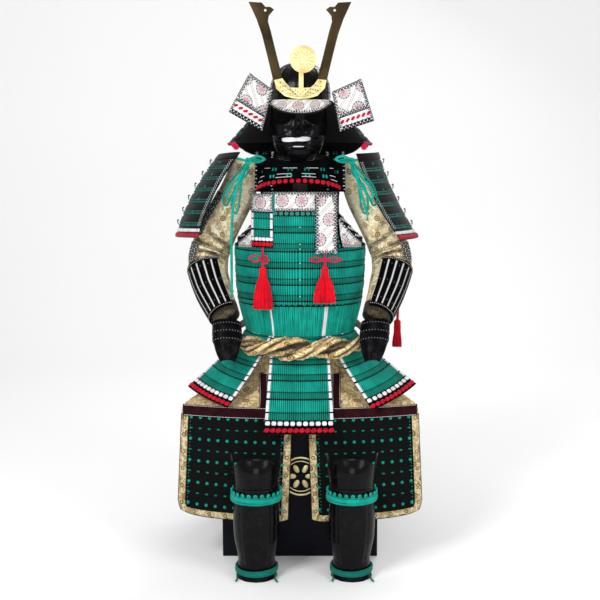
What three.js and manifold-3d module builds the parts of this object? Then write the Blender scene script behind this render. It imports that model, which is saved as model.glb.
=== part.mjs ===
// Samurai armour set on its storage chest and plain wooden stand.
// Millimetres, +Z up, the front faces -Y, the origin is the centre of the chest's underside.
import * as THREE from 'three';
import { mergeVertices } from 'three/addons/utils/BufferGeometryUtils.js';
import Module from 'manifold-3d';

const wasm = await Module();
wasm.setup();

const GAP = 0.3;
const STEP = 1e-3;
const lerp = THREE.MathUtils.lerp;
const rad = THREE.MathUtils.degToRad;
const V = (x, y, z) => new THREE.Vector3(x, y, z);

const COLOURS = {
  lacquer: [0x0c0c0e, 0.28, 0.1],
  teal: [0x128070, 0.85, 0],
  darkLace: [0x0d1f1d, 0.8, 0],
  leather: [0xe9e4e0, 0.7, 0],
  brocade: [0x9a8459, 0.65, 0.15],
  brown: [0x2a1513, 0.6, 0],
  gold: [0xcbb46a, 0.3, 1],
  brass: [0x6d5a2e, 0.4, 1],
  red: [0xd01626, 0.75, 0],
  wood: [0x54402c, 0.6, 0],
  guard: [0x141414, 0.75, 0.1],
};

// Value of a table at x: rows are [x, value, value...], x rising, straight in between.
function look(rows, x) {
  let i = 1;
  while (i < rows.length - 1 && rows[i][0] < x) i++;
  const t = (x - rows[i - 1][0]) / (rows[i][0] - rows[i - 1][0]);
  return rows[i].slice(1).map((b, k) => lerp(rows[i - 1][k + 1], b, t));
}

const spread = (n, from = 0, to = 1) =>
  Array.from({ length: n + 1 }, (_, i) => lerp(from, to, i / n));

const power = (c, e) => Math.sign(c) * Math.abs(c) ** e;

// Closed wall between two grids of points that share their columns.
function wall({ outer, inner, us, vs, vsIn, closed = false }) {
  const points = [];
  const faces = [];
  const grid = (list, at) =>
    list.map((v) =>
      us.map((u) => {
        const p = at(u, v);
        points.push(p.x, p.y, p.z);
        return points.length / 3 - 1;
      }),
    );
  const O = grid(vs, outer);
  const I = grid(vsIn, inner);
  const n = us.length;
  const last = closed ? n : n - 1;
  const next = (i) => (i + 1) % n;
  for (let j = 0; j < vs.length - 1; j++) {
    for (let i = 0; i < last; i++) {
      const [a, b, c, d] = [O[j][i], O[j][next(i)], O[j + 1][next(i)], O[j + 1][i]];
      faces.push(a, b, c, a, c, d);
    }
  }
  for (let j = 0; j < vsIn.length - 1; j++) {
    for (let i = 0; i < last; i++) {
      const [a, b, c, d] = [I[j][i], I[j][next(i)], I[j + 1][next(i)], I[j + 1][i]];
      faces.push(a, c, b, a, d, c);
    }
  }
  const end = vs.length - 1;
  const endIn = vsIn.length - 1;
  for (let i = 0; i < last; i++) {
    const [a, b, c, d] = [O[0][i], O[0][next(i)], I[0][next(i)], I[0][i]];
    faces.push(b, a, d, b, d, c);
    const [e, f, g, h] = [O[end][i], O[end][next(i)], I[endIn][next(i)], I[endIn][i]];
    faces.push(e, f, g, e, g, h);
  }
  if (!closed) {
    for (const side of [0, n - 1]) {
      let p = 0;
      let q = 0;
      while (p < end || q < endIn) {
        const outerNext = p < end && (q === endIn || vs[p + 1] <= vsIn[q + 1]);
        const [o, i] = [O[p][side], I[q][side]];
        const t = outerNext ? [i, o, O[p + 1][side]] : [o, I[q + 1][side], i];
        faces.push(...(side === 0 ? t : [t[2], t[1], t[0]]));
        if (outerNext) p++;
        else q++;
      }
    }
  }
  return shape(points, faces);
}

// Geometry of a closed surface, turned so that its faces look outwards.
function shape(points, faces) {
  let volume = 0;
  const at = (i) => V(points[3 * i], points[3 * i + 1], points[3 * i + 2]);
  for (let i = 0; i < faces.length; i += 3) {
    volume += at(faces[i]).dot(at(faces[i + 1]).cross(at(faces[i + 2])));
  }
  const turned = [...faces];
  if (volume < 0) {
    for (let i = 0; i < faces.length; i += 3) {
      [turned[i + 1], turned[i + 2]] = [faces[i + 2], faces[i + 1]];
    }
  }
  const geometry = new THREE.BufferGeometry();
  geometry.setAttribute('position', new THREE.Float32BufferAttribute(points, 3));
  geometry.setIndex(turned);
  return geometry;
}

// Unit normal of a surface at u, v, on the side that away(point) looks to.
function normal(S, u, v, away, level) {
  const p = S(u + STEP, v).sub(S(u - STEP, v));
  const q = S(u, v + STEP).sub(S(u, v - STEP));
  const n = p.cross(q);
  if (level) n.z = 0;
  n.normalize();
  return n.dot(away(S(u, v))) < 0 ? n.negate() : n;
}

const outwards = (p) => V(p.x, p.y, 0);

// Point of a surface, moved out along its normal.
function moved(S, u, v, h, away = outwards, level = false) {
  return S(u, v).addScaledVector(normal(S, u, v, away, level), h);
}

// Plate on a surface: its relief is raised by rise(u, v) and its plain back lies thick behind.
// A level plate is raised sideways alone, so that its edges stay at their heights.
function plate({ S, us, vs, vsIn = spread(3), rise, thick, away = outwards, level, closed }) {
  return wall({
    outer: (u, v) => moved(S, u, v, rise(u, v), away, level),
    inner: (u, v) => moved(S, u, v, -thick, away, level),
    us,
    vs,
    vsIn,
    closed,
  });
}

// Rows of a laced lame: share of the pitch from its top, and height over the plate.
const LACED = [
  [0.0, 0.8],
  [0.05, 3.2],
  [0.6, 3.8],
  [0.66, 0.8],
  [0.73, 2.9],
];
const BEADS = [
  [0.0, 0.6],
  [0.3, 4.2],
  [0.75, 4.2],
];

// Relief down a plate of the given length, as [share of the length, height].
function rows(length, pitch, { start = 0, beads = 0, bead = 13, pattern = LACED } = {}) {
  const laced = length - beads * bead;
  const list = [];
  for (let top = -start * pitch; top < laced; top += pitch) {
    for (const [share, height] of pattern) {
      const s = top + share * pitch;
      if (s >= 0 && s < laced - 1.5) list.push([s / length, height]);
    }
  }
  for (let k = 0; k < beads; k++) {
    for (const [share, height] of BEADS) {
      list.push([(laced + (k + share) * bead) / length, height]);
    }
  }
  if (list[0][0] > 0.004) list.unshift([0, 0.8]);
  list[0][0] = 0;
  list.push([1, 0.8]);
  return list;
}

// Plate with lames: the relief comes from rows().
function laced(spec, relief) {
  return plate({ ...spec, vs: relief.map((r) => r[0]), rise: (u, v) => look(relief, v)[0] });
}

// Round cord along a curve.
function cord(points, radius, sides = 6, steps = 14, closed = false) {
  const ring = new THREE.Shape();
  for (let i = 0; i < sides; i++) {
    const a = (2 * Math.PI * i) / sides;
    ring[i ? 'lineTo' : 'moveTo'](radius * Math.cos(a), radius * Math.sin(a));
  }
  ring.closePath();
  const path = new THREE.CatmullRomCurve3(
    points.map((p) => V(...p)),
    closed,
  );
  return new THREE.ExtrudeGeometry(ring, { steps, extrudePath: path, bevelEnabled: false });
}

// Flat plate from an outline in x and z, from y to y + depth.
function sheetMetal(outline, y, depth) {
  const flat = new THREE.Shape(outline.map(([x, z]) => new THREE.Vector2(x, z)));
  const geometry = new THREE.ExtrudeGeometry(flat, { depth, steps: 1, bevelEnabled: false });
  geometry.rotateX(Math.PI / 2);
  geometry.translate(0, y + depth, 0);
  return geometry;
}

function block(x0, x1, y0, y1, z0, z1) {
  const geometry = new THREE.BoxGeometry(x1 - x0, y1 - y0, z1 - z0);
  geometry.translate((x0 + x1) / 2, (y0 + y1) / 2, (z0 + z1) / 2);
  return geometry;
}

// Every point of a geometry put where at(x, y, z) says.
function bent(geometry, at) {
  const p = geometry.attributes.position;
  for (let i = 0; i < p.count; i++) p.setXYZ(i, ...at(p.getX(i), p.getY(i), p.getZ(i)));
  return geometry;
}

function solid(geometry) {
  const bare = new THREE.BufferGeometry();
  bare.setAttribute('position', geometry.attributes.position.clone());
  if (geometry.index) bare.setIndex(geometry.index.clone());
  const merged = mergeVertices(bare, 1e-4);
  return new wasm.Manifold(
    new wasm.Mesh({
      numProp: 3,
      vertProperties: new Float32Array(merged.attributes.position.array),
      triVerts: new Uint32Array(merged.index.array),
    }),
  );
}

function fuse(...geometries) {
  const mesh = wasm.Manifold.union(geometries.map(solid)).getMesh();
  const geometry = new THREE.BufferGeometry();
  geometry.setAttribute('position', new THREE.Float32BufferAttribute(mesh.vertProperties, 3));
  geometry.setIndex([...mesh.triVerts]);
  return geometry;
}

const group = new THREE.Group();
group.name = 'samurai_armour';

function add(name, geometry, look3) {
  const [color, roughness, metalness] = look3;
  const mesh = new THREE.Mesh(
    geometry,
    new THREE.MeshStandardMaterial({ color, roughness, metalness }),
  );
  mesh.name = name;
  group.add(mesh);
  return mesh;
}

const SIDES = [
  ['right', -1],
  ['left', 1],
];

// Chest and stand.
const CHEST = { x: 210, y: 200, top: 430, lid: 62, board: 12 };

function openBox(x, y, z0, z1, board, openTop) {
  const whole = solid(block(-x, x, -y, y, z0, z1));
  const [low, high] = openTop ? [z0 + board, z1 + 5] : [z0 - 5, z1 - board];
  const room = solid(block(-x + board, x - board, -y + board, y - board, low, high));
  const mesh = whole.subtract(room).getMesh();
  const geometry = new THREE.BufferGeometry();
  geometry.setAttribute('position', new THREE.Float32BufferAttribute(mesh.vertProperties, 3));
  geometry.setIndex([...mesh.triVerts]);
  return geometry;
}

const lidBottom = CHEST.top - CHEST.lid;
add('chest_body', openBox(CHEST.x, CHEST.y, 0, lidBottom - GAP, CHEST.board, true), COLOURS.lacquer);
add('chest_lid', openBox(CHEST.x, CHEST.y, lidBottom, CHEST.top, CHEST.board, false), COLOURS.lacquer);

const BAR = { y: 22, z: 1062, r: 18, half: 102.2 };
const CAP = { z: 1299, thick: 12, r: 36, y: -8 };

function roundBar(x0, x1, y, z, r, sides = 12) {
  const geometry = new THREE.CylinderGeometry(r, r, x1 - x0, sides);
  geometry.rotateZ(Math.PI / 2);
  geometry.translate((x0 + x1) / 2, y, z);
  return geometry;
}

function disc(x, y, z0, z1, r, sides = 16) {
  const geometry = new THREE.CylinderGeometry(r, r, z1 - z0, sides);
  geometry.rotateX(Math.PI / 2);
  geometry.translate(x, y, (z0 + z1) / 2);
  return geometry;
}

add(
  'display_stand',
  fuse(
    block(-120, 120, -60, 100, CHEST.top + GAP, CHEST.top + 22),
    block(-20, 20, 2, 42, CHEST.top + 10, BAR.z),
    roundBar(-BAR.half, BAR.half, BAR.y, BAR.z, BAR.r),
    block(-12, 12, 6, 30, BAR.z, CAP.z + 4),
    disc(0, CAP.y, CAP.z, CAP.z + CAP.thick, CAP.r),
    block(-12, 12, -20, 30, CAP.z - 8, CAP.z + 4),
  ),
  COLOURS.wood,
);

// Cuirass.
// Height, half width, half depth of the trunk.
const TRUNK = [
  [590, 150, 150],
  [677, 171, 136],
  [735, 177, 140],
  [835, 180, 143],
  [921, 160, 132],
  [989, 142, 118],
  [1060, 128, 100],
];
const ROUND = 2.4;

function trunk(angle, z) {
  const [a, b] = look(TRUNK, z);
  const [s, c] = [Math.sin(rad(angle)), Math.cos(rad(angle))];
  return V(a * power(s, 2 / ROUND), -b * power(c, 2 / ROUND), z);
}

// Depth of the trunk's surface at x, on the front (-1) or the back (1).
function face(x, z, side = -1) {
  const [a, b] = look(TRUNK, z);
  const t = Math.min(Math.abs(x) / a, 0.985);
  return V(x, side * b * (1 - t ** ROUND) ** (1 / ROUND), z);
}

const PITCH = 45;
const HEM = 677;
const WAIST = 835;
const BREAST = 921;
const COLLAR = 984;

const around = (from, to, z0, z1) => (u, v) => trunk(lerp(from, to, u), lerp(z1, z0, v));
const belt = rows(WAIST - HEM, PITCH, { start: 0.3 });

add(
  'cuirass_front',
  laced({ S: around(-89.98, 89.98, HEM, WAIST - GAP), us: spread(11), thick: 2, level: true }, belt),
  COLOURS.teal,
);
add(
  'cuirass_back',
  laced({ S: around(90.02, 269.98, HEM, WAIST - GAP), us: spread(9), thick: 2, level: true }, belt),
  COLOURS.teal,
);

// A plate on the trunk whose half width changes with height: rows [z, half width].
const panel = (widths, z0, z1, side) => (u, v) => {
  const z = lerp(z1, z0, v);
  return face(look(widths, z)[0] * (2 * u - 1), z, side);
};
const FRONT_WIDTH = [
  [835, 114],
  [870, 106],
  [921, 101],
  [984, 99],
];
const BACK_WIDTH = [
  [835, 126],
  [900, 112],
  [960, 110],
  [1032, 118],
];

add(
  'breast_rows',
  laced(
    { S: panel(FRONT_WIDTH, WAIST, BREAST - GAP, -1), us: spread(6), thick: 2, level: true },
    rows(BREAST - WAIST, PITCH, { start: 0.4 }),
  ),
  COLOURS.teal,
);
const edged = (lip) => (u, v) => (v < 0.08 || v > 0.92 || u < 0.035 || u > 0.965 ? lip : 1.2);
add(
  'breast_plate',
  plate({
    S: panel(FRONT_WIDTH, BREAST, COLLAR, -1),
    us: [0, 0.03, 0.04, 0.25, 0.5, 0.75, 0.96, 0.97, 1],
    vs: [0, 0.07, 0.1, 0.9, 0.93, 1],
    vsIn: spread(2),
    thick: 2,
    level: true,
    rise: edged(3),
  }),
  COLOURS.leather,
);
const backRelief = [
  [0, 3],
  [0.02, 3],
  [0.03, 1.2],
  [0.33, 1.2],
  [0.34, 3],
  [0.36, 3],
  ...rows(1032 - WAIST, PITCH, { start: 0.4 }).filter(([v]) => v > 0.38),
];
add(
  'back_upper',
  laced(
    { S: panel(BACK_WIDTH, WAIST, 1032, 1), us: spread(6), thick: 2, level: true },
    backRelief,
  ),
  COLOURS.teal,
);

const ARMPIT = { out: 166, low: 843, high: 917 };
for (const [name, s] of SIDES) {
  add(
    `armpit_plate_${name}`,
    plate({
      S: (u, v) => {
        const inner = look(FRONT_WIDTH, lerp(WAIST, ARMPIT.high, v))[0] + GAP;
        const x = lerp(ARMPIT.out, inner, u);
        const top = lerp(ARMPIT.low, ARMPIT.high, power(u, 1.2));
        return face(s * x, lerp(WAIST + 0.1, top, v));
      },
      us: spread(5),
      vs: spread(3),
      vsIn: spread(1),
      thick: 1.5,
      level: true,
      rise: (u, v) => (v > 0.9 ? 2.4 : 1.4),
    }),
    COLOURS.leather,
  );
}

// Shoulder straps, as [y, z] from the front end over the bar to the back plate.
const STRAP_LINE = new THREE.CatmullRomCurve3(
  [
    [-113, 985.2],
    [-97, 1022],
    [-62, 1062],
    [-20, 1080],
    [22, 1083],
    [66, 1068],
    [96, 1034],
  ].map(([y, z]) => V(0, y, z)),
);
for (const [name, s] of SIDES) {
  const S = (u, v) => {
    const p = STRAP_LINE.getPoint(THREE.MathUtils.clamp(v, 0, 1));
    if (v < 0) p.addScaledVector(STRAP_LINE.getTangent(0), v * 230);
    if (v > 1) p.addScaledVector(STRAP_LINE.getTangent(1), (v - 1) * 230);
    return V(s * lerp(72, 121, u), p.y, p.z);
  };
  add(
    `shoulder_strap_${name}`,
    plate({
      S,
      us: [0, 0.1, 0.9, 1],
      vs: spread(12),
      vsIn: spread(12),
      thick: 2.4,
      rise: (u) => (u < 0.05 || u > 0.95 ? 3.6 : 2.4),
      away: (p) => V(0, p.y, p.z - 960),
    }),
    COLOURS.darkLace,
  );
}

// Small hanging plates in front of the armholes.
const over = (x0, x1, z0, z1, lift) => (u, v) => {
  const p = face(lerp(x0, x1, u), lerp(z1, z0, v));
  return V(p.x, p.y - lift, p.z);
};
const inFront = () => V(0, -1, 0);
add(
  'laced_pendant_plate',
  laced(
    { S: over(-130, -72, 838, 978, 7.2), us: spread(4), thick: 1.4, vsIn: spread(3), away: inFront },
    [
      [0, 0.8],
      [0.02, 3],
      [0.33, 3],
      [0.35, 0.8],
      [0.4, 3.2],
      [0.48, 3.2],
      [0.5, 0.8],
      [0.53, 3.2],
      [0.63, 3.2],
      [0.65, 0.8],
      [0.69, 3.4],
      [0.84, 3.4],
      [0.87, 1],
      [0.89, 4.4],
      [0.93, 1],
      [0.95, 4.4],
      [1, 0.8],
    ],
  ),
  COLOURS.teal,
);
add(
  'leather_pendant_plate',
  plate({
    S: over(40, 99, 821, 980, 7.2),
    us: [0, 0.05, 0.08, 0.5, 0.92, 0.95, 1],
    vs: [0, 0.03, 0.05, 0.35, 0.65, 0.94, 0.97, 1],
    vsIn: spread(3),
    thick: 1.4,
    rise: (u, v) => (u < 0.06 || u > 0.94 || v < 0.04 || v > 0.96 ? 3.2 : 1.4),
    away: inFront,
  }),
  COLOURS.leather,
);

// Skirt.
const SKIRT_TOP = 600;
const HANG = [
  ['front', -84, 84, 19],
  ['back', 118, 242, 10],
];
const RING = { top: [169, 134], bottom: [150, 158] };

function ringPoint(angle, v) {
  const a = lerp(RING.top[0], RING.bottom[0], v);
  const b = lerp(RING.top[1], RING.bottom[1], v);
  const [s, c] = [Math.sin(rad(angle)), Math.cos(rad(angle))];
  const z = lerp(HEM - GAP, SKIRT_TOP + GAP, v);
  return V(a * power(s, 2 / 2.2), -b * power(c, 2 / 2.2), z);
}

for (const [name, from, to, pleats] of HANG) {
  add(
    `hanging_cords_${name}`,
    plate({
      S: (u, v) => ringPoint(lerp(from, to, u), v),
      us: spread(2 * pleats),
      vs: spread(2),
      vsIn: spread(1),
      thick: 1,
      level: true,
      rise: (u) => (Math.round(u * 2 * pleats) % 2 ? 2.6 : 0.6),
    }),
    COLOURS.teal,
  );
}

// Skirt panels: angles on the waist ring, then the lower corners, then how far they belly out.
const SKIRTS = [
  { name: 'front', from: -28, to: 28, a: [-94, -290, 369], b: [89, -290, 369], cols: 4, bow: 3, out: 0.3 },
  { name: 'right', from: -84, to: -28.4, a: [-303, -150, 463], b: [-189, -256, 431], cols: 5, bow: 10, out: 0.14 },
  { name: 'left', from: 28.4, to: 84, a: [189, -256, 424], b: [314, -150, 470], cols: 5, bow: 10, out: 0.14 },
  { name: 'back', from: 132, to: 228, a: [150, 228, 400], b: [-150, 228, 400], cols: 4, bow: 14, out: 0.2 },
];

function skirtPoint(k, u, v) {
  const top = ringPoint(lerp(k.from, k.to, u), 1);
  const low = V(...k.a).lerp(V(...k.b), u);
  const mid = V(...k.a).add(V(...k.b)).multiplyScalar(0.5);
  low.addScaledVector(V(mid.x, mid.y, 0).normalize(), k.bow * 4 * u * (1 - u));
  const knee = top.clone().lerp(low, k.out);
  knee.z = lerp(SKIRT_TOP, low.z, 0.3);
  const p = top.clone().multiplyScalar((1 - v) ** 2);
  p.addScaledVector(knee, 2 * v * (1 - v));
  p.addScaledVector(low, v * v);
  p.z -= 4 * GAP * (1 - v);
  return p;
}

for (const k of SKIRTS) {
  add(
    `skirt_${k.name}`,
    laced(
      {
        S: (u, v) => skirtPoint(k, u, v),
        us: spread(k.cols),
        vsIn: spread(3),
        thick: 1.4,
        away: (p) => V(p.x, p.y, 60),
      },
      rows(262, PITCH, { start: 0.4, beads: 2 }),
    ),
    COLOURS.teal,
  );
}

// Twisted sash in front, and its plain stretch round the back.
const SASH = { a: 200, b: 208.9, z: 577, from: -52, to: 52, turns: 1.6 };
function sashCentre(angle) {
  const [s, c] = [Math.sin(rad(angle)), Math.cos(rad(angle))];
  return V(SASH.a * power(s, 2 / 2.2), -SASH.b * power(c, 2 / 2.2), SASH.z);
}
function strand(turn) {
  const steps = 16;
  const sides = 6;
  const points = [];
  const faces = [];
  for (let j = 0; j <= steps; j++) {
    const t = j / steps;
    const angle = lerp(SASH.from, SASH.to, t);
    const c = sashCentre(angle);
    const out = V(c.x, c.y, 0).normalize();
    const full = Math.sin(Math.PI * lerp(0.17, 0.83, t)) ** 0.7;
    const spin = turn + 2 * Math.PI * SASH.turns * t;
    c.addScaledVector(out, 13 * full * Math.cos(spin));
    c.z += 15 * full * Math.sin(spin);
    const lump = 1 + 0.07 * Math.sin(9 * spin);
    for (let i = 0; i < sides; i++) {
      const a = (2 * Math.PI * i) / sides;
      const p = c.clone().addScaledVector(out, 17.5 * full * lump * Math.cos(a));
      p.z += 18.5 * full * lump * Math.sin(a);
      points.push(p.x, p.y, p.z);
    }
  }
  const id = (j, i) => j * sides + (i % sides);
  for (let j = 0; j < steps; j++) {
    for (let i = 0; i < sides; i++) {
      faces.push(id(j, i), id(j, i + 1), id(j + 1, i + 1));
      faces.push(id(j, i), id(j + 1, i + 1), id(j + 1, i));
    }
  }
  for (let i = 1; i < sides - 1; i++) {
    faces.push(id(0, 0), id(0, i + 1), id(0, i));
    faces.push(id(steps, 0), id(steps, i), id(steps, i + 1));
  }
  return shape(points, faces);
}
add('sash_twist', fuse(strand(0.6), strand(0.6 + Math.PI)), COLOURS.brocade);
add(
  'sash_back',
  plate({
    S: (u, v) => {
      const angle = lerp(62, 298, u);
      const [s, c] = [Math.sin(rad(angle)), Math.cos(rad(angle))];
      const end = THREE.MathUtils.smoothstep(Math.abs(angle - 180) / 118, 0.7, 1);
      const a = lerp(170, 191, end);
      const back = c < 0 ? -2 : -3;
      return V(a * power(s, 0.9), -(a + back) * power(c, 0.9), lerp(610, 588, v) - 9 * end);
    },
    us: spread(11),
    vs: [0, 0.25, 0.5, 0.75, 1],
    vsIn: spread(1),
    thick: 2,
    level: true,
    rise: (u, v) => [1, 4, 2.4, 4.4, 1][Math.round(v * 4)],
  }),
  COLOURS.brocade,
);

// Thigh apron.
const bandLine = (x) => -236 + 45 * (Math.max(Math.abs(x) - 50, 0) / 270) ** 2;
const APRON = { half: 315, low: 412, top: 584 };

function apronPoint(u, v) {
  const k = 2 * u - 1;
  const angle = 76 * k;
  const top = V(138 * Math.sin(rad(angle)), -146 * Math.cos(rad(angle)), APRON.top);
  const x = APRON.half * k;
  const low = V(x, bandLine(x), APRON.low);
  const c1 = V(top.x * 1.12, top.y * 1.1, 454);
  const c2 = V(x * 0.985, bandLine(x) + 5, 443.5 + 8 * Math.abs(k));
  return new THREE.CubicBezierCurve3(top, c1, c2, low).getPoint(THREE.MathUtils.clamp(v, 0, 1));
}
function apronSurface(u, v) {
  const p = apronPoint(u, v);
  const low = apronPoint(u, 1);
  if (v > 1) p.z -= (v - 1) * 100;
  if (v < 0) p.z -= v * 100;
  return v > 0.999 && v <= 1 ? low : p;
}
const forwards = (p) => V(p.x * 0.4, -200, 60);
add(
  'thigh_apron_cloth',
  plate({
    S: apronSurface,
    us: spread(12),
    vs: [0, 0.15, 0.32, 0.5, 0.68, 0.84, 1],
    vsIn: [0, 0.15, 0.32, 0.5, 0.68, 0.84, 1],
    thick: 1,
    rise: () => 1,
    away: forwards,
  }),
  COLOURS.brocade,
);

const PANEL = { top: APRON.low - 2 * GAP, inTop: 21, inLow: 32, outTop: 315, outLow: 326 };
function thighPoint(s, u, v) {
  const drop = lerp(125, 137, u) + 10 * (2 * u - 1) ** 8;
  const z = lerp(PANEL.top, drop, v);
  const pull = 8 * Math.max(0, v - 0.93) / 0.07;
  const inner = lerp(PANEL.inTop, PANEL.inLow, v);
  const outer = lerp(PANEL.outTop, PANEL.outLow, v) - pull;
  const x = lerp(inner, outer, u);
  return V(s * x, bandLine(x) - 42 * v + 3 * v * Math.sin(u * 7), z);
}
const PANEL_ROWS = rows(290, 36, {
  start: 0,
  pattern: [
    [0.1, 1.2],
    [0.5, 2.8],
  ],
}).filter(([v]) => v < 0.95);
PANEL_ROWS[PANEL_ROWS.length - 1] = [0.94, 1.2];
PANEL_ROWS.push([0.95, 3.2], [1, 3.2]);
for (const [name, s] of SIDES) {
  add(
    `thigh_panel_${name}`,
    plate({
      S: (u, v) => thighPoint(s, u, v),
      us: [0, 0.055, 0.065, 0.3, 0.6, 0.8, 0.935, 0.945, 1],
      vs: PANEL_ROWS.map((r) => r[0]),
      vsIn: spread(3),
      thick: 1,
      rise: (u, v) => (u < 0.06 || u > 0.94 ? 3.2 : look(PANEL_ROWS, v)[0]),
      away: forwards,
    }),
    COLOURS.darkLace,
  );
}
add(
  'thigh_band',
  plate({
    S: (u, v) => {
      const x = 312 * (2 * u - 1);
      const z = lerp(426, 396, v);
      return V(x, bandLine(x) - 4.8 - 0.148 * Math.max(PANEL.top - z, 0), z);
    },
    us: spread(14),
    vs: [0, 0.12, 0.88, 1],
    vsIn: spread(1),
    thick: 0.6,
    rise: (u, v) => (v < 0.1 || v > 0.9 ? 0.6 : 1.4),
    away: forwards,
  }),
  COLOURS.brown,
);

// Shin guards.
// Height, half width, half depth.
const SHIN = [
  [0, 54, 50],
  [12, 47, 46],
  [29, 43.5, 44],
  [60, 48, 46],
  [105, 57, 50],
  [150, 59, 52],
  [195, 58, 52],
  [246, 55, 50],
];
const KNEE = [
  [246, 56, 51],
  [270, 58, 55],
  [300, 59, 54],
  [334, 60, 45],
];
// Centre of each shin guard.
const SHINS = [
  ['right', -113, -322.9],
  ['left', 134, -321.1],
];

for (const [name, cx, cy] of SHINS) {
  const axis = (p) => V(p.x - cx, p.y - cy, 0);
  const oval = (a, b, angle, z) =>
    V(cx + a * Math.sin(rad(angle)), cy - b * Math.cos(rad(angle)), z);
  add(
    `shin_guard_${name}`,
    plate({
      S: (u, v) => {
        const z = lerp(246, 0.02, v);
        const [a, b] = look(SHIN, THREE.MathUtils.clamp(z, 0, 246));
        return oval(a, b, lerp(-118, 118, u), z);
      },
      us: [0, 0.11, 0.22, 0.335, 0.35, 0.5, 0.65, 0.665, 0.78, 0.89, 1],
      vs: [0, 0.03, 0.05, 0.24, 0.5, 0.75, 0.88, 0.95, 1],
      vsIn: [0, 0.24, 0.5, 0.75, 0.88, 1],
      thick: 1.6,
      rise: (u, v) => (u > 0.34 && u < 0.66 ? 2.6 : 1.2) + (v < 0.04 ? 1.6 : 0),
      away: axis,
      level: true,
    }),
    COLOURS.lacquer,
  );
  add(
    `knee_guard_${name}`,
    plate({
      S: (u, v) => {
        const k = 2 * u - 1;
        const w = Math.abs(k);
        const top = 328 - 26 * THREE.MathUtils.smoothstep(w, 0.2, 0.72);
        const wing = 32 * THREE.MathUtils.smoothstep(w, 0.74, 0.95);
        const z = lerp(top + wing, 246 + GAP, v);
        const [a, b] = look(KNEE, THREE.MathUtils.clamp(z, 246, 334));
        const flare = 1 + 0.1 * wing / 32 * (1 - v);
        const bulge = 7 * Math.sin(Math.PI * THREE.MathUtils.clamp(v, 0, 1)) * (1 - w * w);
        return oval(a * flare, b + bulge, lerp(-100, 100, u), z);
      },
      us: [0, 0.03, 0.08, 0.13, 0.2, 0.3, 0.4, 0.5, 0.6, 0.7, 0.8, 0.87, 0.92, 0.97, 1],
      vs: [0, 0.25, 0.5, 0.75, 1],
      vsIn: [0, 0.25, 0.5, 0.75, 1],
      thick: 1.4,
      rise: () => 1.4,
      away: axis,
      level: true,
    }),
    COLOURS.lacquer,
  );
  for (const [place, z0, z1, a, b] of [
    ['upper', 204, 238, 62.6, 56],
    ['lower', 12, 31, 51.5, 51.5],
  ]) {
    add(
      `shin_tie_${place}_${name}`,
      plate({
        S: (u, v) => oval(a, b, 360 * u, lerp(z1, z0, v)),
        us: spread(14).slice(0, 14),
        vs: [0, 0.25, 0.5, 0.75, 1],
        vsIn: [0, 1],
        thick: 0.6,
        rise: (u, v) => [0.6, 3, 1, 3, 0.6][Math.round(v * 4)],
        away: axis,
        level: true,
        closed: true,
      }),
      COLOURS.teal,
    );
  }
}

// Sleeves, forearm splints and hand guards.
// Arm line of the wearer's right arm: [x, y, z, half width, half depth]; mirrored for the left.
const ARM = [
  [-140, 10, 1062, 41, 46],
  [-180, 5, 960, 48, 52],
  [-228, -3, 868, 51, 56],
  [-253, -22, 793, 52, 56],
  [-236, -76, 722, 45, 48],
  [-196, -146, 650, 35, 36],
];

function armLine(s) {
  const wrist = s > 0 ? 6 : 0;
  const centre = new THREE.CatmullRomCurve3(
    ARM.map(([x, y, z], i) => V(s * (-x + (i === 5 ? wrist : 0)), y, z)),
    false,
    'centripetal',
  );
  return (angle, t) => {
    const k = THREE.MathUtils.clamp(t, 0, 1);
    const c = centre.getPoint(k);
    const along = centre.getTangent(k);
    if (t !== k) c.addScaledVector(along, (t - k) * 420);
    const side = V(s, 0, 0).addScaledVector(along, -s * along.x).normalize();
    const front = along.clone().cross(side).normalize();
    if (front.y > 0) front.negate();
    const [a, b] = look(
      ARM.map((r, i) => [i / 5, r[3], r[4]]),
      k,
    );
    const p = c.addScaledVector(side, a * Math.cos(rad(angle)));
    return p.addScaledVector(front, b * Math.sin(rad(angle)));
  };
}
function armAway(s) {
  const line = new THREE.CatmullRomCurve3(
    ARM.map(([x, y, z]) => V(-s * x, y, z)),
    false,
    'centripetal',
  ).getPoints(60);
  return (p) => {
    let best = line[0];
    for (const q of line) if (q.distanceTo(p) < best.distanceTo(p)) best = q;
    return p.clone().sub(best);
  };
}

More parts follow.
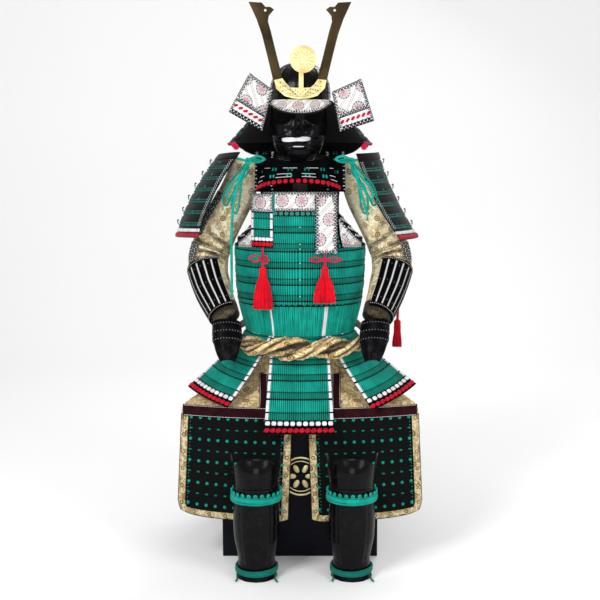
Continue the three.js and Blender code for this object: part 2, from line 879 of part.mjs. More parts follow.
for (const [name, s] of SIDES) {
  const at = armLine(s);
  const away = armAway(s);
  const S = (u, v) => at(360 * u, v);
  add(
    `sleeve_${name}`,
    plate({
      S,
      us: spread(11).slice(0, 11),
      vs: spread(13),
      vsIn: spread(5),
      thick: 1.2,
      rise: (u, v) => 1 + (Math.round(v * 13) % 2 && v > 0.1 && v < 0.95 ? 2.6 : 0),
      away,
      closed: true,
    }),
    COLOURS.brocade,
  );
  const bars = 5;
  const us = [0];
  for (let k = 0; k < bars; k++) {
    us.push(...[0.12, 0.2, 0.8, 0.88].map((f) => (k + f) / bars));
  }
  us.push(1);
  add(
    `forearm_splints_${name}`,
    plate({
      S: (u, v) => moved(S, lerp(-0.13, 0.33, u), lerp(0.66, 0.985, v), 7.5, away),
      us,
      vs: [0, 0.06, 0.08, 0.5, 0.92, 0.94, 1],
      vsIn: spread(2),
      thick: 0.9,
      rise: (u, v) => {
        const f = (u * bars) % 1;
        return (f > 0.15 && f < 0.85) || v < 0.07 || v > 0.93 ? 3 : 0.8;
      },
      away,
    }),
    COLOURS.guard,
  );
  const wrist = V(s * (s > 0 ? 202 : 196), -156, s > 0 ? 641.4 : 640);
  const tip = V(s * 190, -222, 545);
  const along = tip.clone().sub(wrist);
  const handFront = V(0, -along.z, along.y).normalize().negate();
  if (handFront.y > 0) handFront.negate();
  add(
    `hand_guard_${name}`,
    plate({
      S: (u, v) => {
        const c = wrist.clone().addScaledVector(along, v);
        const wide = look(
          [
            [-0.1, 33],
            [0.15, 37],
            [0.45, 38],
            [0.8, 27],
            [1.1, 13],
          ],
          v,
        )[0];
        const angle = lerp(-96, 96, u);
        c.x += s * wide * Math.sin(rad(angle));
        return c.addScaledVector(handFront, 0.72 * wide * Math.cos(rad(angle)) - 8 + 8 * v);
      },
      us: spread(8),
      vs: [0, 0.1, 0.12, 0.3, 0.32, 0.5, 0.52, 0.7, 0.85, 1],
      vsIn: spread(4),
      thick: 1.2,
      rise: (u, v) => (v < 0.11 ? 3.4 : v < 0.31 ? 2.6 : v < 0.51 ? 1.9 : 1.2),
      away: () => handFront,
    }),
    COLOURS.guard,
  );
}

// Shoulder shields.
// Corners of each shield: upper back, lower back, lower front, upper front, and its bulge.
const SHIELDS = [
  {
    name: 'right',
    corners: [
      [-232, 120, 1076],
      [-359, 120, 841],
      [-271, -140, 864],
      [-158, -120, 1089],
    ],
    bulge: 13,
  },
  {
    name: 'left',
    corners: [
      [223, 120, 1084],
      [342, 120, 841],
      [266, -140, 858],
      [148, -120, 1085],
    ],
    bulge: -12,
  },
];
const shieldOut = (k) => V(Math.sign(k.corners[0][0]), -0.3, 0.35).normalize();
function shieldPoint(k, u, v) {
  const [ub, lb, lf, uf] = k.corners.map((c) => V(...c));
  const p = ub.lerp(lb, v).lerp(uf.lerp(lf, v), u);
  p.addScaledVector(shieldOut(k), k.bulge * 4 * v * (1 - v));
  return p.addScaledVector(V(Math.sign(p.x), 0, 0), 13 * 4 * u * (1 - u));
}
for (const k of SHIELDS) {
  const out = shieldOut(k);
  const S = (u, v) => shieldPoint(k, u, v);
  const list = [
    [0, 2],
    [0.075, 2],
    [0.085, 0.6],
  ];
  const lames = 6;
  for (let i = 0; i < lames; i++) {
    const top = lerp(0.09, 0.89, i / lames);
    list.push([top + 0.005, 2], [top + 0.085, 3.6], [top + 0.092, 1], [top + 0.128, 2.2]);
  }
  list.push([0.895, 0.8], [0.91, 4], [0.935, 4], [0.945, 1], [0.96, 4], [0.99, 4], [1, 1]);
  add(
    `shoulder_shield_${k.name}`,
    laced({ S, us: spread(4), vsIn: spread(4), thick: 1.6, away: () => out }, list),
    COLOURS.darkLace,
  );
}

// Helmet.
const BOWL = { a: 82, b: 102, y: -8, z: 1228, high: 98 };
const bowlPoint = (angle, t, grow = 0) => {
  const ring = Math.cos(t) ** 0.8;
  return V(
    (BOWL.a + grow) * ring * Math.sin(angle),
    BOWL.y - (BOWL.b + grow) * ring * Math.cos(angle),
    BOWL.z + (BOWL.high + grow) * Math.sin(t) ** 0.8,
  );
};
const RIBS = 9;
const CROWN = [0, 0.07, 0.4, 0.78, 1.15, 1.47];
add(
  'helmet_bowl',
  fuse(
    wall({
      outer: (u, v) => bowlPoint(2 * Math.PI * u, v, Math.round(u * 2 * RIBS) % 2 ? 1.6 : 0),
      inner: (u, v) => bowlPoint(2 * Math.PI * u, v, -3),
      us: spread(2 * RIBS).slice(0, 2 * RIBS),
      vs: CROWN,
      vsIn: [0, 0.35, 0.8, 1.47],
      closed: true,
    }),
    disc(0, BOWL.y, BOWL.z + BOWL.high - 5, BOWL.z + BOWL.high + 2, 17, 12),
  ),
  COLOURS.lacquer,
);

const VISOR = { half: 62 };
add(
  'helmet_visor',
  plate({
    S: (u, v) => {
      const k = lerp(-1, 1, u);
      const angle = rad(VISOR.half * k);
      const inner = V(82.9 * Math.sin(angle), BOWL.y - 103.4 * Math.cos(angle), 1225.6);
      const outer = V(91 * Math.sin(angle), BOWL.y - 144 * Math.cos(angle), 1187 + 30 * k * k);
      return inner.lerp(outer, v);
    },
    us: spread(12),
    vs: [0, 0.08, 0.5, 0.9, 1],
    vsIn: [0, 0.5, 1],
    thick: 1.4,
    rise: (u, v) => (v < 0.04 || v > 0.95 ? 2.6 : 1.4),
    away: () => V(0, -0.6, 1),
  }),
  COLOURS.leather,
);

const GUARD = { top: 71, low: 62, lames: 5 };
const guardPoint = (u, v) => {
  const from = lerp(GUARD.top, GUARD.low, v);
  const angle = rad(lerp(from, 360 - from, u));
  const a = lerp(82.6, 197, power(v, 0.92));
  const b = lerp(102.7, 168, power(v, 0.92));
  return V(a * Math.sin(angle), BOWL.y - b * Math.cos(angle), lerp(1226, 1106, v));
};
const guardRows = [];
for (let i = 0; i < GUARD.lames; i++) {
  const top = i / GUARD.lames;
  guardRows.push([top, 0.8], [top + 0.01, 2.4], [top + 0.14, 4], [top + 0.15, 1.2]);
}
guardRows.push([1, 2]);
add(
  'neck_guard',
  laced({ S: guardPoint, us: spread(12), vsIn: spread(2), thick: 1.6 }, guardRows),
  COLOURS.darkLace,
);

// Turned-back leather plates beside the brow: upper outer, upper inner, lower inner, lower outer.
const WINGS = [
  {
    name: 'right',
    c: [
      [-134, -52, 1297],
      [-72.4, -68, 1252],
      [-101.4, -72, 1144],
      [-191, -52, 1195],
    ],
  },
  {
    name: 'left',
    c: [
      [163, -52, 1282],
      [85.4, -67.3, 1247],
      [107.4, -71.3, 1142],
      [199, -52, 1171],
    ],
  },
];
for (const k of WINGS) {
  const [uo, ui, li, lo] = k.c.map((c) => V(...c));
  add(
    `brow_wing_${k.name}`,
    plate({
      S: (u, v) => {
        const p = ui.clone().lerp(uo, u).lerp(li.clone().lerp(lo, u), v);
        p.y -= 9 * Math.sin(Math.PI * u) + 4 * Math.sin(Math.PI * v);
        return p;
      },
      us: [0, 0.04, 0.06, 0.3, 0.6, 0.94, 0.96, 1],
      vs: [0, 0.04, 0.06, 0.35, 0.66, 0.68, 0.86, 0.9, 1],
      vsIn: spread(3),
      thick: 1.4,
      rise: (u, v) => (u < 0.05 || u > 0.95 || v < 0.05 || v > 0.88 ? 3 : v > 0.67 ? 2.4 : 1.4),
      away: inFront,
    }),
    COLOURS.leather,
  );
}

const HORN_BASE = [
  [-68, 1277],
  [-63, 1254],
  [-40, 1235],
  [-20, 1229],
  [2, 1227],
  [24, 1229],
  [46, 1236],
  [66, 1256],
  [70, 1277],
  [47, 1279],
  [37, 1265],
  [27, 1257],
  [1, 1256],
  [-25, 1257],
  [-39, 1271],
  [-46, 1281],
];
const HORN_Y = -117.6;
const curl = (x) => 0.004 * x * x;
add(
  'horn_base',
  bent(sheetMetal(HORN_BASE, HORN_Y, 3), (x, y, z) => [x, y + curl(x), z]),
  COLOURS.gold,
);
// Outline of the wearer's right horn, from its foot round the outside to the notch and back.
const HORN = [
  [-66, 1268],
  [-72, 1281],
  [-85, 1335],
  [-100, 1394],
  [-114, 1434],
  [-135, 1479],
  [-100, 1477],
  [-91, 1466],
  [-78, 1466],
  [-68, 1459],
  [-82, 1443],
  [-84, 1428],
  [-77, 1405],
  [-71, 1381],
  [-60, 1336],
  [-49, 1294],
  [-46, 1268],
];
for (const [name, s] of SIDES) {
  const outline = HORN.map(([x, z]) => [s * -x, z]);
  add(
    `helmet_horn_${name}`,
    bent(sheetMetal(s < 0 ? outline : outline.reverse(), -3, 2.6), (x, y, z) => [
      x,
      y + (s < 0 ? -93.3 : -92.3) + (z - 1268) * 0.08,
      z,
    ]),
    COLOURS.brass,
  );
}
function turnedDisc(x, z, r, y0, y1, sides) {
  const geometry = new THREE.CylinderGeometry(r, r, y1 - y0, sides);
  geometry.translate(x, (y0 + y1) / 2, z);
  return geometry;
}
add(
  'crest_disc',
  fuse(
    turnedDisc(8, 1329, 35, -1, 1.6, 24),
    turnedDisc(8, 1329, 31, -2, 1, 24),
    turnedDisc(8, 1329, 13, -3.4, 0, 12),
    turnedDisc(8, 1329, 6, -4.6, -1, 8),
    block(-3, 9, -1, 1.6, 1247, 1300),
  ).translate(0, HORN_Y - 1.9, 0),
  COLOURS.gold,
);

// Face mask and throat guard.
// Down the mask: height, half width, depth of the middle in front of the ears.
const MASK = [
  [1058, 34, 52],
  [1066, 46, 66],
  [1085, 57, 78],
  [1108, 68, 80],
  [1133, 76, 78],
  [1160, 78, 70],
  [1190, 75, 65],
  [1230, 73, 60],
];
const bump = (d, w) => Math.exp(-((d / w) ** 2));
const MASK_X = -4;
function maskTop(w) {
  const { smoothstep } = THREE.MathUtils;
  const eye = 1176 - 15 * smoothstep(w, 0.08, 0.3) + 20 * smoothstep(w, 0.45, 0.72);
  return eye + 46.4 * smoothstep(w, 0.72, 0.9);
}
function maskPoint(u, v) {
  const k = 2 * u - 1;
  const z = lerp(maskTop(Math.abs(k)), 1058, v);
  const [w, d] = look(MASK, z);
  const angle = rad(96 * k);
  const x = w * Math.sin(angle);
  let y = 38 + d * Math.cos(angle);
  y += 19 * bump(x, 9) * bump(z - 1142, 13) + 9 * bump(x, 7) * bump(z - 1168, 18);
  y += 7 * bump(x, 17) * bump(z - 1142, 7);
  y += 6 * bump(Math.abs(x) - 40, 17) * bump(z - 1146, 16);
  y += 5 * bump(x, 34) * bump(z - 1131, 5) + 4 * bump(x, 20) * bump(z - 1108, 5);
  y += 7 * bump(x, 16) * bump(z - 1084, 12);
  y -= 9 * bump(x / 26, 1) * bump(z - 1119, 5);
  return V(MASK_X + x, -y, z);
}
add(
  'face_mask',
  plate({
    S: maskPoint,
    us: spread(16),
    vs: [0, 0.12, 0.22, 0.3, 0.38, 0.45, 0.51, 0.57, 0.63, 0.72, 0.84, 1],
    vsIn: spread(4),
    thick: 3,
    rise: () => 0,
    away: (p) => V(p.x, p.y + 20, 0),
  }),
  COLOURS.lacquer,
);

const throatPoint = (u, v) => {
  const k = 2 * u - 1;
  const angle = rad(74 * k);
  const a = lerp(82, 116, v);
  const b = lerp(58, 110, v) * (1 - lerp(0.3, 0.24, v) * k * k);
  const z = lerp(1064 + 14 * k * k, 1010 - 24 * k * k, v);
  return V(MASK_X + a * Math.sin(angle), -42 - b, z);
};
const throatRows = [
  [0, 1],
  [0.03, 2.2],
  [0.24, 3.4],
  [0.27, 1],
  [0.3, 2.2],
  [0.5, 3.4],
  [0.53, 1],
  [0.56, 2.2],
  [0.78, 3.4],
  [0.81, 1],
  [0.86, 4],
  [0.97, 4],
  [1, 1],
];
add(
  'throat_guard',
  laced({ S: throatPoint, us: spread(10), vsIn: spread(2), thick: 1.4 }, throatRows),
  COLOURS.lacquer,
);

// Tassels and cords.
// Pleated skirt of a tassel under its round head.
function tassel(x, y, z, low, wide, deep, strands = 6) {
  const skirt = [
    [z + 9, 4],
    [z + 5, 9],
    [z - 4, 9.5],
    [z - 11, 8],
  ];
  const points = [];
  const faces = [];
  const n = 2 * strands;
  const rings = [...skirt.map(([h, r]) => [h, r, r]), [lerp(z, low, 0.45), wide * 0.8, deep * 0.8]];
  rings.push([low + 8, wide, deep], [low, wide * 0.96, deep * 0.96]);
  rings.forEach(([h, a, b], j) => {
    for (let i = 0; i < n; i++) {
      const t = (2 * Math.PI * i) / n;
      const cut = i % 2 && j > 3 ? 0.8 : 1;
      const ragged = j === rings.length - 1 ? 3 * Math.sin(i * 2.7) : 0;
      points.push(x + a * cut * Math.cos(t), y + b * cut * Math.sin(t), h + ragged);
    }
  });
  for (let j = 0; j < rings.length - 1; j++) {
    for (let i = 0; i < n; i++) {
      const [a, b] = [j * n + i, j * n + ((i + 1) % n)];
      faces.push(a, b, b + n, a, b + n, a + n);
    }
  }
  const [top, bottom] = [points.length / 3, points.length / 3 + 1];
  points.push(x, y, skirt[0][0], x, y, low + 2);
  const base = (rings.length - 1) * n;
  for (let i = 0; i < n; i++) {
    faces.push(top, (i + 1) % n, i, bottom, base + i, base + ((i + 1) % n));
  }
  return shape(points, faces);
}

// Loop of cord that starts and ends in a knot.
function bow(x, y, z, wide, high, radius) {
  const loop = [
    [x, y, z],
    [x + wide * 0.6, y - 2, z + high * 0.55],
    [x + wide, y - 2, z + high * 0.1],
    [x + wide * 0.55, y - 1, z - high * 0.4],
    [x - wide * 0.02, y, z - 1],
  ];
  return cord(loop, radius, 4, 6);
}
function knot(x, y, z, r) {
  const geometry = new THREE.SphereGeometry(r, 6, 4);
  geometry.translate(x, y, z);
  return geometry;
}

add(
  'tassel_right',
  fuse(
    tassel(-99, -144, 778, 672, 27, 13),
    cord(
      [
        [-99, -137, 837.6],
        [-100, -143, 810],
        [-99, -144, 782],
      ],
      3.2,
      5,
      3,
    ),
    knot(-99, -143, 808, 6),
    bow(-99, -143, 808, -36, 17, 2.6),
    bow(-99, -143, 808, 14, -22, 2.6),
  ),
  COLOURS.red,
);
add(
  'tassel_left',
  fuse(
    tassel(66, -153, 780, 690, 30, 13),
    cord(
      [
        [67, -146, 820.4],
        [66, -151, 803],
        [66, -153, 784],
      ],
      3.2,
      5,
      3,
    ),
    knot(66, -151, 806, 6),
    bow(66, -151, 806, -42, 12, 2.6),
    bow(66, -151, 806, 44, 12, 2.6),
  ),
  COLOURS.red,
);
add(
  'tassel_rear',
  fuse(
    tassel(280, 62, 600, 528, 14, 12),
    cord(
      [
        [222, 124, 1056],
        [246, 126.8, 1008],
        [292, 127.8, 912],
        [300, 124, 862],
        [288, 98, 720],
        [280, 62, 604],
      ],
      4,
      5,
      14,
    ),
  ),
  COLOURS.red,
);

// Teal cords that tie each shoulder shield to its strap, with the long free ends.
SIDES.forEach(([name, s], i) => {
  const shield = (u, v) => shieldPoint(SHIELDS[i], u, v);
  const eye = moved(shield, 0.95, 0.06, s < 0 ? -6.2 : -5.4, () => shieldOut(SHIELDS[i]));
  add(
    `shoulder_knot_${name}`,
    fuse(
      knot(s * 136, -136, 1066, 9),
      cord(
        [
          [s * 125.6, -62, 1066],
          [s * 130, -100, 1070],
          [s * 136, -136, 1066],
        ],
        4,
        5,
        4,
      ),
      cord([[s * 136, -136, 1066], [eye.x - s * 3, eye.y - 8, eye.z], eye.toArray()], 3.6, 5, 3),
      bow(s * 136, -138, 1066, s * 26, -34, 3.6),
      bow(s * 136, -138, 1066, s * -22, -40, 3.6),
    ),
    COLOURS.teal,
  );
});
add(
  'shoulder_cord_right',
  cord(
    [
      [-140, -139, 1048.9],
      [-156, -145, 1026],
      [-174, -148, 960],
      [-181, -146, 880],
      [-182, -144, 800],
      [-182, -142, 722],
    ],
    3.6,
    8,
    18,
  ),
  COLOURS.teal,
);
add(
  'shoulder_cord_left',
  cord(
    [
      [140, -139, 1049.6],
      [148, -145, 1028],
      [160, -147, 985],
      [178, -147, 930],
    ],
    3.6,
    8,
    7,
  ),
  COLOURS.teal,
);

export default group;
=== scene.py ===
"""Looks of a samurai armour set on its storage chest, built around the packed frame."""

import math

import bmesh
import bpy
import numpy as np
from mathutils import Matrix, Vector


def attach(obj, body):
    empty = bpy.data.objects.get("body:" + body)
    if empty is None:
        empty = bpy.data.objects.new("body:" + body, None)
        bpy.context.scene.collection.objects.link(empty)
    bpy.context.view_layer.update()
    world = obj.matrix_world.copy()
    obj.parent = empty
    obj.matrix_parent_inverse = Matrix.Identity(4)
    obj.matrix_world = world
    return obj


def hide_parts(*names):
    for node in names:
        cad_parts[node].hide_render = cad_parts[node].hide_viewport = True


bl_info = {
    "name": "Armour set looks",
    "version": (1, 0, 0),
    "blender": (4, 5, 0),
    "location": "3D View > Sidebar > Armour",
    "description": "Builds the visual pieces of an armour set on its chest and stand",
    "category": "Object",
}

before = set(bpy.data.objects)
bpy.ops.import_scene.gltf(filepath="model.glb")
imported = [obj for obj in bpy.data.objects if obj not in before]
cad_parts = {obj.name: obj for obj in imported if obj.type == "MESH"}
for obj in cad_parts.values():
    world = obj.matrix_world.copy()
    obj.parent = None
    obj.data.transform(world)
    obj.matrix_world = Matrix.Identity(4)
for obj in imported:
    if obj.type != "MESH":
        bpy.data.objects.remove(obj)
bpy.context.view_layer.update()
MM = 0.001
GAP = 0.3
SIDES = (("right", -1), ("left", 1))


# Numbers and curves.


def mix(a, b, t):
    """Value at share t on the way from a to b."""
    return a + (b - a) * t


def rad(a):
    """Radians of an angle in degrees."""
    return np.radians(a)


def power(c, e):
    """A power that keeps the sign."""
    return np.sign(c) * np.abs(c) ** e


def smooth(x, low, high):
    """Soft step from 0 at low to 1 at high."""
    t = np.clip((x - low) / (high - low), 0, 1)
    return t * t * (3 - 2 * t)


def bump(d, w):
    """Soft hill of height 1 at distance 0."""
    return np.exp(-((d / w) ** 2))


def look(rows, x):
    """Values of a table at x, where the first column holds the places."""
    keys = [r[0] for r in rows]
    return [np.interp(x, keys, [r[k] for r in rows]) for k in range(1, len(rows[0]))]


def vec(x, y, z):
    """Points from their three coordinates."""
    return np.stack(np.broadcast_arrays(*(np.asarray(c, float) for c in (x, y, z))), -1)


def unit(p):
    """Directions of length 1."""
    return p / np.maximum(np.linalg.norm(p, axis=-1, keepdims=True), 1e-12)


def screen(r, g, b):
    """Linear colour from a screen colour of 0 to 255."""
    return tuple((c / 255 / 12.92) if c < 11 else ((c / 255 + 0.055) / 1.055) ** 2.4 for c in (r, g, b))


def rgba(colour, rough, tone=1.0):
    """Tint of a point: its colour, and its roughness in the fourth place."""
    return np.array([*(np.array(colour) * tone), rough])


def toned(shade, rough, warm=(1, 1, 1)):
    """Tints of a whole grid from its shade, with a share for each of red, green and blue."""
    return np.stack([*(shade * w for w in warm), np.full_like(shade, rough)], -1)


def grid(across, down):
    """Even marks across and down a plate, and both spread over the whole plate."""
    us, vs = np.linspace(0, 1, across), np.linspace(0, 1, down)
    return us, vs, *np.meshgrid(us, vs)


class Line:
    """Centripetal curve through points, the same as the frame's."""

    def __init__(self, points):
        p = np.array(points, float)
        self.p = np.vstack([2 * p[0] - p[1], p, 2 * p[-1] - p[-2]])
        self.n = len(p) - 1

    def at(self, t):
        t = np.clip(np.asarray(t, float), 0, 1) * self.n
        i = np.minimum(t.astype(int), self.n - 1)
        w = (t - i)[..., None]
        p0, p1, p2, p3 = (self.p[i + k] for k in range(4))
        spans = ((p0, p1), (p1, p2), (p2, p3))
        a, b, c = (np.sqrt(np.linalg.norm(y - x, axis=-1))[..., None] for x, y in spans)
        m1 = ((p1 - p0) / a - (p2 - p0) / (a + b) + (p2 - p1) / b) * b
        m2 = ((p2 - p1) / b - (p3 - p1) / (b + c) + (p3 - p2) / c) * b
        return p1 + m1 * w + (-3 * p1 + 3 * p2 - 2 * m1 - m2) * w**2 + (2 * p1 - 2 * p2 + m1 + m2) * w**3

    def along(self, t):
        return unit(self.at(t + 1e-3) - self.at(t - 1e-3))

    def even(self, step):
        fine = self.at(np.linspace(0, 1, 400))
        run = np.concatenate([[0], np.cumsum(np.linalg.norm(np.diff(fine, axis=0), axis=1))])
        marks = np.linspace(0, run[-1], max(3, int(run[-1] / step) + 1))
        return np.stack([np.interp(marks, run, fine[:, k]) for k in range(3)], -1)


# Mesh building.


class Shell:
    """Points, faces, cloth coordinates, tints and material numbers of one piece, in millimetres."""

    def __init__(self):
        self.points, self.faces, self.uvs, self.tints, self.mats = [], [], [], [], []
        self.count = 0

    def add(self, points, faces, uv, tint, mat=0):
        n = len(points)
        self.points.append(np.asarray(points, float))
        if isinstance(faces, np.ndarray):
            self.faces += (faces + self.count).tolist()
        else:
            self.faces += [[i + self.count for i in f] for f in faces]
        self.uvs.append(np.asarray(uv, float))
        self.tints.append(np.broadcast_to(tint, (n, 4)))
        self.mats.append(np.broadcast_to(mat, len(faces)))
        self.count += n

    def build(self, name, materials, replaces=(), angle=38):
        mesh = bpy.data.meshes.new(name)
        mesh.from_pydata((np.concatenate(self.points) * MM).tolist(), [], self.faces)
        loops = np.zeros(len(mesh.loops), np.int32)
        mesh.loops.foreach_get("vertex_index", loops)
        uv = np.concatenate(self.uvs) * MM
        layer = mesh.uv_layers.new(name="UVMap")
        layer.uv.foreach_set("vector", uv[loops].ravel().astype(np.float32))
        tint = mesh.color_attributes.new("tint", "FLOAT_COLOR", "POINT")
        tint.data.foreach_set("color", np.concatenate(self.tints).ravel().astype(np.float32))
        mesh.polygons.foreach_set("material_index", np.concatenate(self.mats).astype(np.int32))
        for m in materials:
            mesh.materials.append(m)
        mesh.polygons.foreach_set("use_smooth", np.ones(len(mesh.polygons), bool))
        mesh.set_sharp_from_angle(angle=math.radians(angle))
        return placed(bpy.data.objects.new(name, mesh), replaces)


def placed(o, replaces):
    if not o.users_collection:
        bpy.context.scene.collection.objects.link(o)
    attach(o, "root")
    if replaces:
        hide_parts(*replaces)
    return o


def quads(m, n):
    a = (np.arange(m - 1)[:, None] * n + np.arange(n - 1)).ravel()
    return np.stack([a, a + 1, a + n + 1, a + n], 1)


def outwards(p):
    return p * [1, 1, 0]


def facing(x, y, z):
    return lambda p: np.broadcast_to(np.array([x, y, z], float), p.shape)


def normals(S, u, v, away=outwards, level=False):
    e = 1e-3
    n = np.cross(S(u + e, v) - S(u - e, v), S(u, v + e) - S(u, v - e))
    if level:
        n[:, 2] = 0
    n = unit(n)
    return np.where(np.sum(n * away(S(u, v)), 1)[:, None] < 0, -n, n)


def sizes(S):
    t = np.linspace(0, 1, 60)
    h = np.full(60, 0.5)
    return [np.linalg.norm(np.diff(p, axis=0), axis=1).sum() for p in (S(t, h), S(h, t))]


def skin(
    shell,
    S,
    us,
    vs,
    rise=0.0,
    thick=1.5,
    away=outwards,
    level=False,
    tint=None,
    mat=0,
    inner=5,
    lining=None,
    slide=None,
    shift=(0.0, 0.0),
):
    """Adds a plate on a surface: its relief stands rise over it, and its plain back thick behind it."""
    us, vs = np.asarray(us, float), np.asarray(vs, float)
    m, n = len(vs), len(us)
    u, v = (a.ravel() for a in np.meshgrid(us, vs))
    base, out = S(u, v), normals(S, u, v, away, level)
    h = np.broadcast_to(rise, (m, n)).ravel()[:, None]
    top = (base if slide is None else S(u, np.clip(v + slide.ravel(), 0, 1))) + out * h
    w, l = sizes(S)
    uv = np.stack([u * w + shift[0], v * l + shift[1]], 1)
    tint = np.array([0.5, 0.5, 0.5, 0.5]) if tint is None else np.asarray(tint, float)
    tint = np.broadcast_to(tint, (m, n, 4) if tint.ndim == 3 else (m * n, 4)).reshape(-1, 4)
    faces = quads(m, n)
    a, b, c = (top[faces[:, k]] for k in (0, 1, 3))
    flip = np.sum(np.cross(b - a, c - a) * out[faces[:, 0]]) < 0
    mats = np.broadcast_to(mat, (m - 1, n - 1) if np.ndim(mat) == 2 else len(faces)).ravel()
    shell.add(top, faces[:, ::-1] if flip else faces, uv, tint, mats)
    start = shell.count - m * n
    keep = np.unique(np.round(np.linspace(0, m - 1, inner)).astype(int))
    pick = (keep[:, None] * n + np.arange(n)).ravel()
    first = shell.count
    back = quads(len(keep), n)
    lining = tint[pick] if lining is None else lining
    low = int(np.min(mats)) if np.ndim(mat) else mat
    shell.add((base - out * thick)[pick], back if flip else back[:, ::-1], uv[pick], lining, low)
    top0, topm = start, start + (m - 1) * n
    in0, inm = first, first + (len(keep) - 1) * n
    rims = []
    for o, i, turn in ((top0, in0, flip), (topm, inm, not flip)):
        k = np.arange(n - 1)
        r = np.stack([o + k, i + k, i + k + 1, o + k + 1], 1)
        rims.append(r[:, ::-1] if turn else r)
    shell.faces += np.concatenate(rims).tolist()
    shell.mats.append(np.full(2 * (n - 1), low))
    sides = []
    for col in (0, n - 1):
        for k in range(len(keep) - 1):
            f = [start + j * n + col for j in range(keep[k], keep[k + 1] + 1)]
            f += [first + (k + 1) * n + col, first + k * n + col]
            sides.append(f)
    shell.faces += sides
    shell.mats.append(np.full(len(sides), low))


def domes(shell, centres, out, along, a, b, h, tint, mat=0, sides=8, square=2.0):
    """Adds a low rounded bead at each centre: half sizes a along and b across, height h."""
    centres = np.atleast_2d(centres)
    k = len(centres)
    out = np.broadcast_to(out, (k, 3))
    along = unit(np.broadcast_to(along, (k, 3)) - out * np.sum(out * along, 1)[:, None])
    across = np.cross(out, along)
    t = 2 * np.pi * np.arange(sides) / sides
    ring = np.stack([power(np.cos(t), 2 / square), power(np.sin(t), 2 / square)], 1)
    shape = [(1.0, -0.15), (0.95, 0.45), (0.66, 0.88)]
    local = [(x * r, y * r, z) for r, z in shape for x, y in ring] + [(0, 0, 1)]
    local = np.array(local, float)
    a, b, h = (np.broadcast_to(np.asarray(q, float), k)[:, None, None] for q in (a, b, h))
    pts = centres[:, None] + along[:, None] * local[None, :, :1] * a
    pts = pts + across[:, None] * local[None, :, 1:2] * b
    pts = pts + out[:, None] * local[None, :, 2:] * h
    n = len(local)
    faces = []
    for j in range(2):
        for i in range(sides):
            q = (i + 1) % sides
            faces.append([j * sides + i, j * sides + q, (j + 1) * sides + q, (j + 1) * sides + i])
    tips = [[2 * sides + i, 2 * sides + (i + 1) % sides, 3 * sides] for i in range(sides)]
    step = (np.arange(k) * n)[:, None, None]
    uv = np.tile(local[:, :2] * 5, (k, 1))
    tint = np.asarray(tint, float)
    if tint.ndim == 2:
        tint = np.repeat(tint, n, 0)
    both = (np.array(faces)[None] + step).reshape(-1, 4).tolist()
    both += (np.array(tips)[None] + step).reshape(-1, 3).tolist()
    shell.add(pts.reshape(-1, 3), both, uv, tint, mat)


def on(S, u, v, h=0.0, away=outwards):
    """Place, normal and row direction on a surface."""
    u, v = (np.asarray(q, float) for q in np.broadcast_arrays(u, v))
    n = normals(S, u, v, away)
    return S(u, v) + n * h, n, unit(S(u + 1e-3, v) - S(u - 1e-3, v))


def tube(shell, points, radius, tint, mat=0, sides=8, flat=1.0):
    """Adds a round cord along points, with closed ends."""
    p = np.asarray(points, float)
    m = len(p)
    r = np.broadcast_to(radius, m)
    t = unit(np.gradient(p, axis=0))
    side = np.cross(t[0], [0, 0, 1.0])
    side = np.array([1.0, 0, 0]) if np.linalg.norm(side) < 0.1 else side
    frames = []
    for k in range(m):
        side = side - t[k] * np.dot(side, t[k])
        side = side / np.linalg.norm(side)
        frames.append(side)
    side = np.array(frames)
    other = np.cross(t, side)
    ang = 2 * np.pi * np.arange(sides + 1) / sides
    ring = side[:, None] * np.cos(ang)[None, :, None] + other[:, None] * np.sin(ang)[None, :, None] * flat
    pts = p[:, None] + ring * r[:, None, None]
    run = np.concatenate([[0], np.cumsum(np.linalg.norm(np.diff(p, axis=0), axis=1))])
    uv = np.stack(np.broadcast_arrays(ang[None] * r.mean(), run[:, None]), -1)
    n = sides + 1
    faces = quads(m, n)[:, ::-1].tolist()
    faces.append(list(range(sides)))
    faces.append([(m - 1) * n + i for i in range(sides)][::-1])
    tint = np.asarray(tint, float)
    if tint.ndim == 2:
        tint = np.repeat(tint, n, 0)
    shell.add(pts.reshape(-1, 3), faces, uv.reshape(-1, 2), tint)
    shell.mats[-1] = np.full(len(faces), mat)


# Materials.

TEAL = screen(10, 160, 142)
DEEP = screen(12, 128, 112)
BLACK = screen(6, 6, 8)
WHITE = screen(232, 232, 236)
RED = screen(190, 12, 38)
BRIGHT = screen(232, 14, 40)
GOLD = screen(232, 220, 176)
SILK, PLATE = 0, 1
# Usual roughness of silk and cloth, and of lacquer and metal.
DULL, SHINY = 0.6, 0.3


class Socket:
    """A node's output that can be reckoned with like a number."""

    def __init__(self, maker, out):
        self.maker, self.out = maker, out

    def op(self, name, *others):
        return self.maker.math(name, self, *others)

    def __add__(self, o):
        return self.op("ADD", o)

    def __sub__(self, o):
        return self.op("SUBTRACT", o)

    def __mul__(self, o):
        return self.op("MULTIPLY", o)

    def near(self, value, width):
        return (self - value).op("ABSOLUTE").op("LESS_THAN", width)

    def cell(self, pitch):
        return (self * (1 / pitch)).op("FRACT") - 0.5


